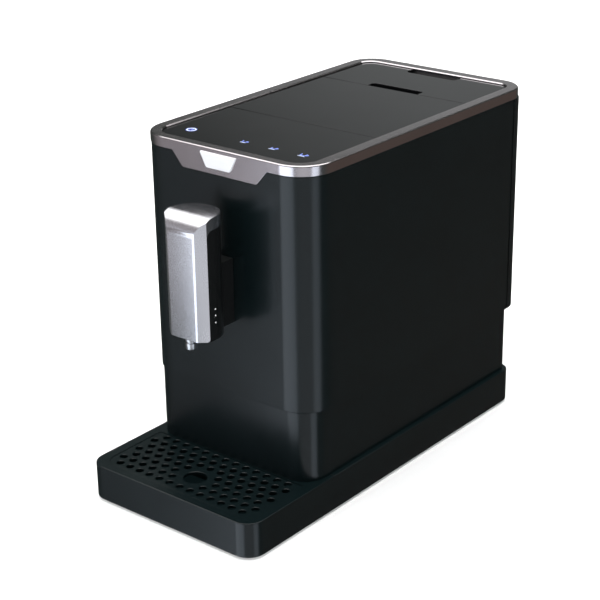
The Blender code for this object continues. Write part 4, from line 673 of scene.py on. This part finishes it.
def make_side_covers(profile):
    for node, side in (("left_side_cover", -1), ("right_side_cover", 1)):
        box = Box(node)
        section = [(side * (SIDE.x1 - d), z) for d, z in profile]
        if side > 0:
            section = section[::-1]
        piece = extrude(node + "_shell", section, box.y0, box.y1, LOOKS["satin_black"], ROOT, along="y")
        bevel(piece, 0.2 * MM, 60)
        stands_for(piece, node)


def make_rear_cover(profile):
    """Cover round the back, with air slots and screw holes."""
    rear = sweep("rear_cover_shell", back_run(REAR.x1, REAR.y0, REAR.y1, REAR_RADIUS, 18), profile,
                 LOOKS["satin_black"], None)
    slots, slot_pitch, slot_half, slot_radius = 7, 8 * MM, 28.5 * MM, 1.5 * MM
    near, far = REAR.y1 - 2 * WALL, REAR.y1 + REACH
    tools = []
    for i in range(slots):
        z = REAR.cz + (i - slots // 2) * slot_pitch
        outline = arc(slot_half, z, slot_radius, -90, 90, 8) + arc(-slot_half, z, slot_radius, 90, 270, 8)
        tools.append(extrude(f"slot_{i}", outline, near, far, along="y"))
    for node in screw_nodes():
        screw = Box(node)
        radius = (screw.x1 - screw.x0) / 2 + GAP
        wall = [(radius, near), (radius, far)]
        tools.append(turned("hole", wall, (screw.cx, screw.cz), along="y", steps=32))
    apply_boolean(rear, tools)
    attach(rear, ROOT)
    bevel(rear, 0.2 * MM, 50)
    stands_for(rear, "rear_cover")


def make_covers():
    depth = COVER.x1 - SHELL.x1 - GAP
    profile = cover_profile(COVER.z0, COVER.z1, WALL, depth)
    make_front_cover(profile)
    make_side_covers(profile)
    make_rear_cover(profile)


def make_screws():
    """Pan-head screws with a cross recess in the rear cover."""
    shank, head, recess = 1.5 * MM, 2 * MM, 1.2 * MM
    arm, thin = 1.8 * MM, 0.56 * MM      # half length and half width of the cross's bars
    for node in screw_nodes():
        box = Box(node)
        r = (box.x1 - box.x0) / 2
        profile = [(shank, box.y0), (shank, box.y1 - head), (r, box.y1 - head),
                   (r, box.y1 - 0.7 * MM), (0.8 * r, box.y1 - 0.2 * MM), (0.35 * r, box.y1)]
        screw = turned(node + "_head", profile, (box.cx, box.cz), LOOKS["steel"], along="y", steps=36)
        low, high = box.y1 - recess, box.y1 + REACH / 2
        bars = [window("bar", box.cx - w, box.cx + w, box.cz - h, box.cz + h, low, high)
                for w, h in ((arm, thin), (thin, arm))]
        apply_boolean(screw, bars)
        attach(screw, ROOT)
        stands_for(screw, node)


# ---------------------------------------------------------------- lower body, base and drawer
def plain_wall(z0, z1):
    return [(0, z0), (0, z1), (WALL, z1), (WALL, z0)]


def make_lower_body():
    """Shell with openings for the mains inlet and switch, and the panel that the tray carries."""
    shell = sweep("lower_shell_wall", back_run(SHELL.x1, SHELL.y0, SHELL.y1, LOWER_BACK_RADIUS, 16),
                  plain_wall(SHELL.z0, SHELL.z1), LOOKS["satin_black"], None)
    openings = []
    for node in ("power_inlet", "switch_housing"):
        box = Box(node)
        openings.append(window("opening", box.x0 - GAP, box.x1 + GAP, box.z0 - GAP, box.z1 + GAP,
                               SHELL.y1 - 2 * WALL, SHELL.y1 + REACH))
    apply_boolean(shell, openings)
    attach(shell, ROOT)
    bevel(shell, 0.3 * MM, 50)
    stands_for(shell, "lower_shell")

    panel = sweep("lower_panel_wall", front_run(PANEL.x1, PANEL.y0, PANEL.y1, LOWER_RADIUS, 18),
                  plain_wall(PANEL.z0, PANEL.z1), LOOKS["satin_black"], BODY_OF["lower_front_panel"])
    bevel(panel, 0.3 * MM, 50)
    stands_for(panel, "lower_front_panel")


def make_base():
    """Rear base, hollow, with a passage for the drawer's runners."""
    seam, passage_end = BASE.y0, FRONT + 101 * MM
    base = rounded_slab("base_tray", loop(BASE.x0, BASE.x1, seam, BASE.y1, 0, LOWER_BACK_RADIUS, 14),
                        BASE.z0, BASE.z1, LOOKS["satin_black"], None, top=0.8 * MM, bottom=0.8 * MM)
    inside = loop(BASE.x0 + WALL, BASE.x1 - WALL, seam + WALL, BASE.y1 - WALL,
                  0, LOWER_BACK_RADIUS - WALL, 14)
    hollow = extrude("hollow", inset(inside, 0), BASE.z0 + WALL, BASE.z1 - WALL)
    passage = block(-RUNNER_HALF - GAP, RUNNER_HALF + GAP, seam - WALL, passage_end, BASE.z0 + WALL,
                    BASE.z1 + WALL)
    apply_boolean(base, [hollow, passage])
    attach(base, ROOT)
    even_normals(base)
    stands_for(base, "base_housing")


def grille_loop(grow):
    """Grille's outline, grown on every side but the back, where the gap is the most."""
    return loop(GRILLE.x0 - grow, GRILLE.x1 + grow, GRILLE.y0 - grow, GRILLE.y1 + min(grow, GAP),
                12 * MM + grow, 1 * MM + max(grow, 0), 12)


def make_tray():
    """Tray with the grille's seat, the well under it, and the runners behind."""
    seam, ledge, floor = FRONT + 29.5 * MM, 4 * MM, 3 * MM
    tray = rounded_slab("tray_body", loop(TRAY.x0, TRAY.x1, TRAY.y0, seam, BASE_RADIUS, 0, 18),
                        TRAY.z0, TRAY.z1, LOOKS["satin_black"], None, top=0.9 * MM, bottom=0.9 * MM, steps=4)
    tongue = block(-RUNNER_HALF, RUNNER_HALF, seam - WALL, TRAY.y1, BASE.z0 + WALL + GAP, TRAY.z1)
    apply_boolean(tray, [tongue], "UNION")
    seat = extrude("seat", inset(grille_loop(GAP), 0), GRILLE.z0 - GAP, TRAY.z1 + WALL)
    well = extrude("well", inset(grille_loop(-ledge), 0), TRAY.z0 + floor, TRAY.z1)
    inner = RUNNER_HALF - RUNNER_WALL
    apply_boolean(tray, [
        seat, well,
        block(TRAY.x0 + 2 * WALL, TRAY.x1 - 2 * WALL, GRILLE.y1 + WALL, seam - WALL, 0, TRAY.z1 - WALL),
        block(-inner, inner, seam - 2 * WALL, TRAY.y1 + WALL, 0, TRAY.z1 - WALL)])
    tray.name = "drip_tray_body"
    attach(tray, BODY_OF["drip_tray"])
    even_normals(tray)
    stands_for(tray, "drip_tray")


def make_grille():
    """Plate with rows of round holes and a large drain hole, all with their top edges eased."""
    grille = rounded_slab("grille_plate", grille_loop(0), GRILLE.z0, GRILLE.z1, LOOKS["satin_black"], None,
                          top=0.3 * MM, bottom=0.2 * MM, steps=2)
    radius, pitch, row_pitch, first, ease = 3.4 * MM, 11.3 * MM, 9.45 * MM, TRAY.y0 + 16 * MM, 0.35 * MM
    drain_y, drain_radius, web = FRONT - 42 * MM, 10 * MM, 1 * MM
    rows, columns_each_side, half_field = 7, 8, 78 * MM
    bm = bmesh.new()

    def hole(x, y, r, steps):
        levels = ((r, GRILLE.z0 - 1 * MM), (r, GRILLE.z1 - ease), (r + ease, GRILLE.z1),
                  (r + ease, GRILLE.z1 + 1 * MM))
        rings = [circle(bm, (x, y), reach, z, steps) for reach, z in levels]
        bridge(bm, rings)
        cap(bm, rings)

    for row in range(rows):
        y = first + row * row_pitch
        shift = pitch / 2 if row % 2 else 0
        for column in range(-columns_each_side, columns_each_side + 1):
            x = column * pitch + shift
            clear = math.hypot(x, y - drain_y) > drain_radius + radius + web
            if abs(x) + radius < half_field and clear and y + radius < GRILLE.y1 - web:
                hole(x, y, radius, 20)
    hole(0, drain_y, drain_radius, 48)
    holes = new_piece("holes", bm, None, None)
    apply_boolean(grille, [holes])
    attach(grille, BODY_OF["drip_grille"])
    even_normals(grille)
    stands_for(grille, "drip_grille")


def make_feet():
    for node in ("foot_front_left", "foot_front_right", "foot_rear_left", "foot_rear_right"):
        box = Box(node)
        r = (box.x1 - box.x0) / 2
        profile = [(r - 0.8 * MM, box.z0), (r - 0.3 * MM, box.z0 + 0.2 * MM), (r, box.z0 + 0.7 * MM),
                   (r, box.z1)]
        stands_for(turned(node + "_pad", profile, (box.cx, box.cy), LOOKS["rubber"], ROOT), node)


# ---------------------------------------------------------------- spout
def make_hood():
    """Metal hood: flat nose with chamfered sides, bent back over the top as a cap."""
    nose, top, nose_half, radius = HOOD.y0, HOOD.z1, 14 * MM, HOOD.x1
    back = arc(0, SPOUT_CENTRE, radius, 0, 180, 24)
    plan = [(-radius, SHOULDER), (-nose_half, nose), (nose_half, nose), (radius, SHOULDER)] + back
    plan = soften(plan, 1.2 * MM, 4, sharp=(0, 3) + tuple(range(4, 4 + len(back))))
    hood = slab("hood_wrap", plan, HOOD.z0, top, LOOKS["silver_paint"], top=0.35 * MM, bottom=0.5 * MM)

    bend, fillet, cap_z, past = 15.5 * MM, 7 * MM, 252 * MM, 40 * MM
    rounding = ([(nose - REACH, top - bend)] + arc(nose + bend, top - bend, bend, 180, 90, 14)
                + [(nose + bend, top + REACH), (nose - REACH, top + REACH)])
    behind = ([(SHOULDER, HOOD.z0 - REACH), (FRONT + REACH, HOOD.z0 - REACH), (FRONT + REACH, cap_z)]
              + arc(SHOULDER + fillet, cap_z - fillet, fillet, 90, 180, 10))
    apply_boolean(hood, [extrude("rounding", rounding, -past, past, along="x"),
                         extrude("behind", behind, -past, past, along="x")])

    corners, r = [], 3 * MM
    for side in (-1, 1):
        x = side * radius
        outline = [(x + side * 1 * MM, HOOD.z0 - 1 * MM), (x + side * 1 * MM, HOOD.z0 + r)]
        for angle in range(0, 91, 15):
            t = math.radians(angle)
            outline.append((x - side * r * (1 - math.cos(t)), HOOD.z0 + r - r * math.sin(t)))
        outline.append((x - side * r, HOOD.z0 - 1 * MM))
        corners.append(extrude("corner", outline, nose - REACH, FRONT, along="y"))
    apply_boolean(hood, corners)
    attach(hood, BODY_OF["spout_hood"])
    bevel(hood, 0.35 * MM, 50)
    stands_for(hood, "spout_hood")


def make_slider(radius):
    """Dark slider behind the hood, slotted for the duct that it travels on."""
    plan = [(-radius, SHOULDER), (radius, SHOULDER)] + arc(0, SPOUT_CENTRE, radius, 0, 180, 24)
    slider = slab("slider_body", plan, SLIDER.z0, SLIDER.z1 - 0.1 * MM, LOOKS["dark_plastic"],
                  top=0.2 * MM, bottom=0.6 * MM)
    slot = block(DUCT.x0 - GAP, DUCT.x1 + GAP, DUCT.y0 - GAP, FRONT, SLIDER.z0 - REACH, SLIDER.z1 + REACH)
    apply_boolean(slider, [slot])
    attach(slider, BODY_OF["spout_slider"])
    even_normals(slider)
    stands_for(slider, "spout_slider")


def make_nozzle():
    """Nozzle with a bevelled mouth and a groove round it."""
    r, bore, groove = (NOZZLE.x1 - NOZZLE.x0) / 2, 3 * MM, 0.7 * MM
    z0, z1 = NOZZLE.z0, NOZZLE.z1
    profile = [(bore, z1), (bore, z0 + 0.6 * MM), (bore + 0.5 * MM, z0), (r - 0.9 * MM, z0),
               (r - 0.3 * MM, z0 + 0.3 * MM), (r, z0 + 0.9 * MM), (r, z0 + 5.5 * MM),
               (r - groove, z0 + 6.2 * MM), (r - groove, z0 + 7 * MM), (r, z0 + 7.6 * MM), (r, z1)]
    nozzle = turned("nozzle_tube", profile, (NOZZLE.cx, NOZZLE.cy), LOOKS["steel"], BODY_OF["spout_nozzle"],
                    steps=56, solid=False)
    stands_for(nozzle, "spout_nozzle")


def make_height_dots(side):
    """Three white dots on the slider's side."""
    dot_look = surface("dot_white", (0.8, 0.8, 0.8), 0.4, mottle=0.05)
    profile = [(0.75 * MM, side - 0.1 * MM), (0.75 * MM, side + 0.1 * MM), (0.45 * MM, side + 0.25 * MM)]
    for i, z in enumerate((186 * MM, 180.5 * MM, 174.5 * MM)):
        dot = turned(f"height_dot_{i}", profile, (FRONT - 33.6 * MM, z), dot_look, BODY_OF["spout_slider"],
                     along="x", steps=20)


def make_spout():
    slider_radius = HOOD.x1 - 0.4 * MM
    make_hood()
    make_slider(slider_radius)
    edge = loop(DUCT.x0, DUCT.x1, DUCT.y0, DUCT.y1, 1 * MM, 0, 5)
    duct = rounded_slab("duct_body", edge, DUCT.z0, DUCT.z1, LOOKS["dark_plastic"], ROOT)
    stands_for(even_normals(duct), "coffee_duct")
    make_nozzle()
    make_height_dots(slider_radius)


def make_hidden_parts():
    """CAD solids that no piece stands for yet, with eased edges; soft silicone keeps its own."""
    shown = {name for obj in bpy.data.objects for name in obj.get("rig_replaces", [])}
    for node in sorted(frame["nodes"]):
        if node not in shown and SLOTS[node] != "silicone":
            softened(node, 0.25 * MM)


make_rim()
make_badge()
make_panels()
make_symbols()
make_covers()
make_screws()
make_lower_body()
make_base()
make_tray()
make_grille()
make_feet()
make_spout()
make_hidden_parts()


# ---------------------------------------------------------------- stage, light and camera
def stage_sheet():
    """Pale floor that sweeps up into a backdrop."""
    bm = bmesh.new()
    half_width, front, back, sweep_radius, height = 5.0, -4.0, 3.0, 1.0, 3.0
    profile = [(front, 0.0)] + arc(back, sweep_radius, sweep_radius, -90, 0, 9)
    profile += [(back + sweep_radius, height)]
    rings = [[bm.verts.new((x, y, z)) for x in (-half_width, half_width)] for y, z in profile]
    bridge(bm, rings, False)
    paper = surface("paper", (0.86, 0.86, 0.86), 0.9, grain=0.05, grain_size=2 * MM, mottle=0.01)
    sheet = new_piece("backdrop", bm, paper, None)
    sheet.visible_glossy = False
    sheet.visible_shadow = False


def area(name, place, target, size_x, size_y, power, colour=(1, 1, 1)):
    """Rectangular light aimed at a target."""
    data = bpy.data.lights.new(name, "AREA")
    data.shape = "RECTANGLE"
    data.size, data.size_y, data.energy, data.color = size_x, size_y, power, colour
    light = bpy.data.objects.new(name, data)
    light.location = place
    aim = Vector(target) - Vector(place)
    light.rotation_euler = aim.to_track_quat("-Z", "Y").to_euler()
    bpy.context.scene.collection.objects.link(light)
    return light


def glow(nodes, links, direction, start, end, colour):
    """Soft patch of brightness in the surroundings, round a direction."""
    place = nodes.new("ShaderNodeTexCoord")
    dot = nodes.new("ShaderNodeVectorMath")
    dot.operation = "DOT_PRODUCT"
    dot.inputs[1].default_value = Vector(direction).normalized()
    links.new(place.outputs["Generated"], dot.inputs[0])
    fade = nodes.new("ShaderNodeMapRange")
    fade.interpolation_type = "SMOOTHSTEP"
    fade.inputs["From Min"].default_value, fade.inputs["From Max"].default_value = start, end
    links.new(dot.outputs["Value"], fade.inputs["Value"])
    tint = nodes.new("ShaderNodeVectorMath")
    tint.operation = "SCALE"
    tint.inputs[0].default_value = colour
    links.new(fade.outputs["Result"], tint.inputs["Scale"])
    return tint.outputs["Vector"]


def make_light():
    """Dim surroundings with soft patches, softboxes over the stage, and two strips low in front."""
    world = bpy.data.worlds.new("studio")
    bpy.context.scene.world = world
    world.use_nodes = True
    nodes, links = world.node_tree.nodes, world.node_tree.links
    total = nodes.new("ShaderNodeVectorMath")
    total.inputs[0].default_value = (0.050, 0.056, 0.052)
    patches = [           # direction, cosines where it starts and is full, colour
        ((-0.467, 0.878, 0.104), 0.93, 1.0, (0.26, 0.265, 0.27)),
        ((-0.60, -0.70, 0.12), 0.60, 1.0, (0.24, 0.215, 0.23)),
        ((0.63, -0.68, -0.374), 0.80, 1.0, (0.52, 0.53, 0.57)),
        ((0.55, 0.80, -0.25), 0.80, 1.0, (0.04, 0.015, 0.01)),
    ]
    for patch in patches:
        links.new(glow(nodes, links, *patch), total.inputs[1])
        after = nodes.new("ShaderNodeVectorMath")
        links.new(total.outputs["Vector"], after.inputs[0])
        total = after
    links.new(total.outputs["Vector"], nodes["Background"].inputs["Color"])
    machine = (0.065, -0.0925, 0.1)
    cool = (0.79, 0.88, 1.0)
    area("top_softbox", (-0.3, 0.1, 2.4), (-0.3, 0.1, 0), 3.8, 3.8, 100)
    fill = area("floor_fill", (-0.2, 0.2, 2.38), (-0.2, 0.2, 0), 2.4, 2.4, 70)
    fill.visible_glossy = False
    fill.data.use_shadow = False
    area("backdrop_light", (-1.6, 1.2, 2.3), (-2.2, 3.4, 0.6), 2.0, 1.0, 70)
    area("front_strip", (-0.26, -1.55, -0.3), machine, 1.30, 2.0, 15.5, cool)
    area("right_strip", (1.54, -0.35, -0.3), machine, 0.62, 2.0, 5.0, cool)


def make_camera():
    """Camera where the photograph was taken from."""
    data = bpy.data.cameras.new("camera")
    data.lens, data.sensor_width = 96.8, 36
    camera = bpy.data.objects.new("camera", data)
    right, up = Vector((0.77617, 0.63037, -0.01396)), Vector((-0.22976, 0.30338, 0.92475))
    back = right.cross(up)
    camera.matrix_world = Matrix.Translation((0.815160, -1.011989, 0.673276)) @ Matrix(
        (right, up, back)).transposed().to_4x4()
    bpy.context.scene.collection.objects.link(camera)
    bpy.context.scene.camera = camera


stage_sheet()
make_light()
make_camera()
bpy.context.scene.view_settings.view_transform = "Standard"

bpy.context.view_layer.update()
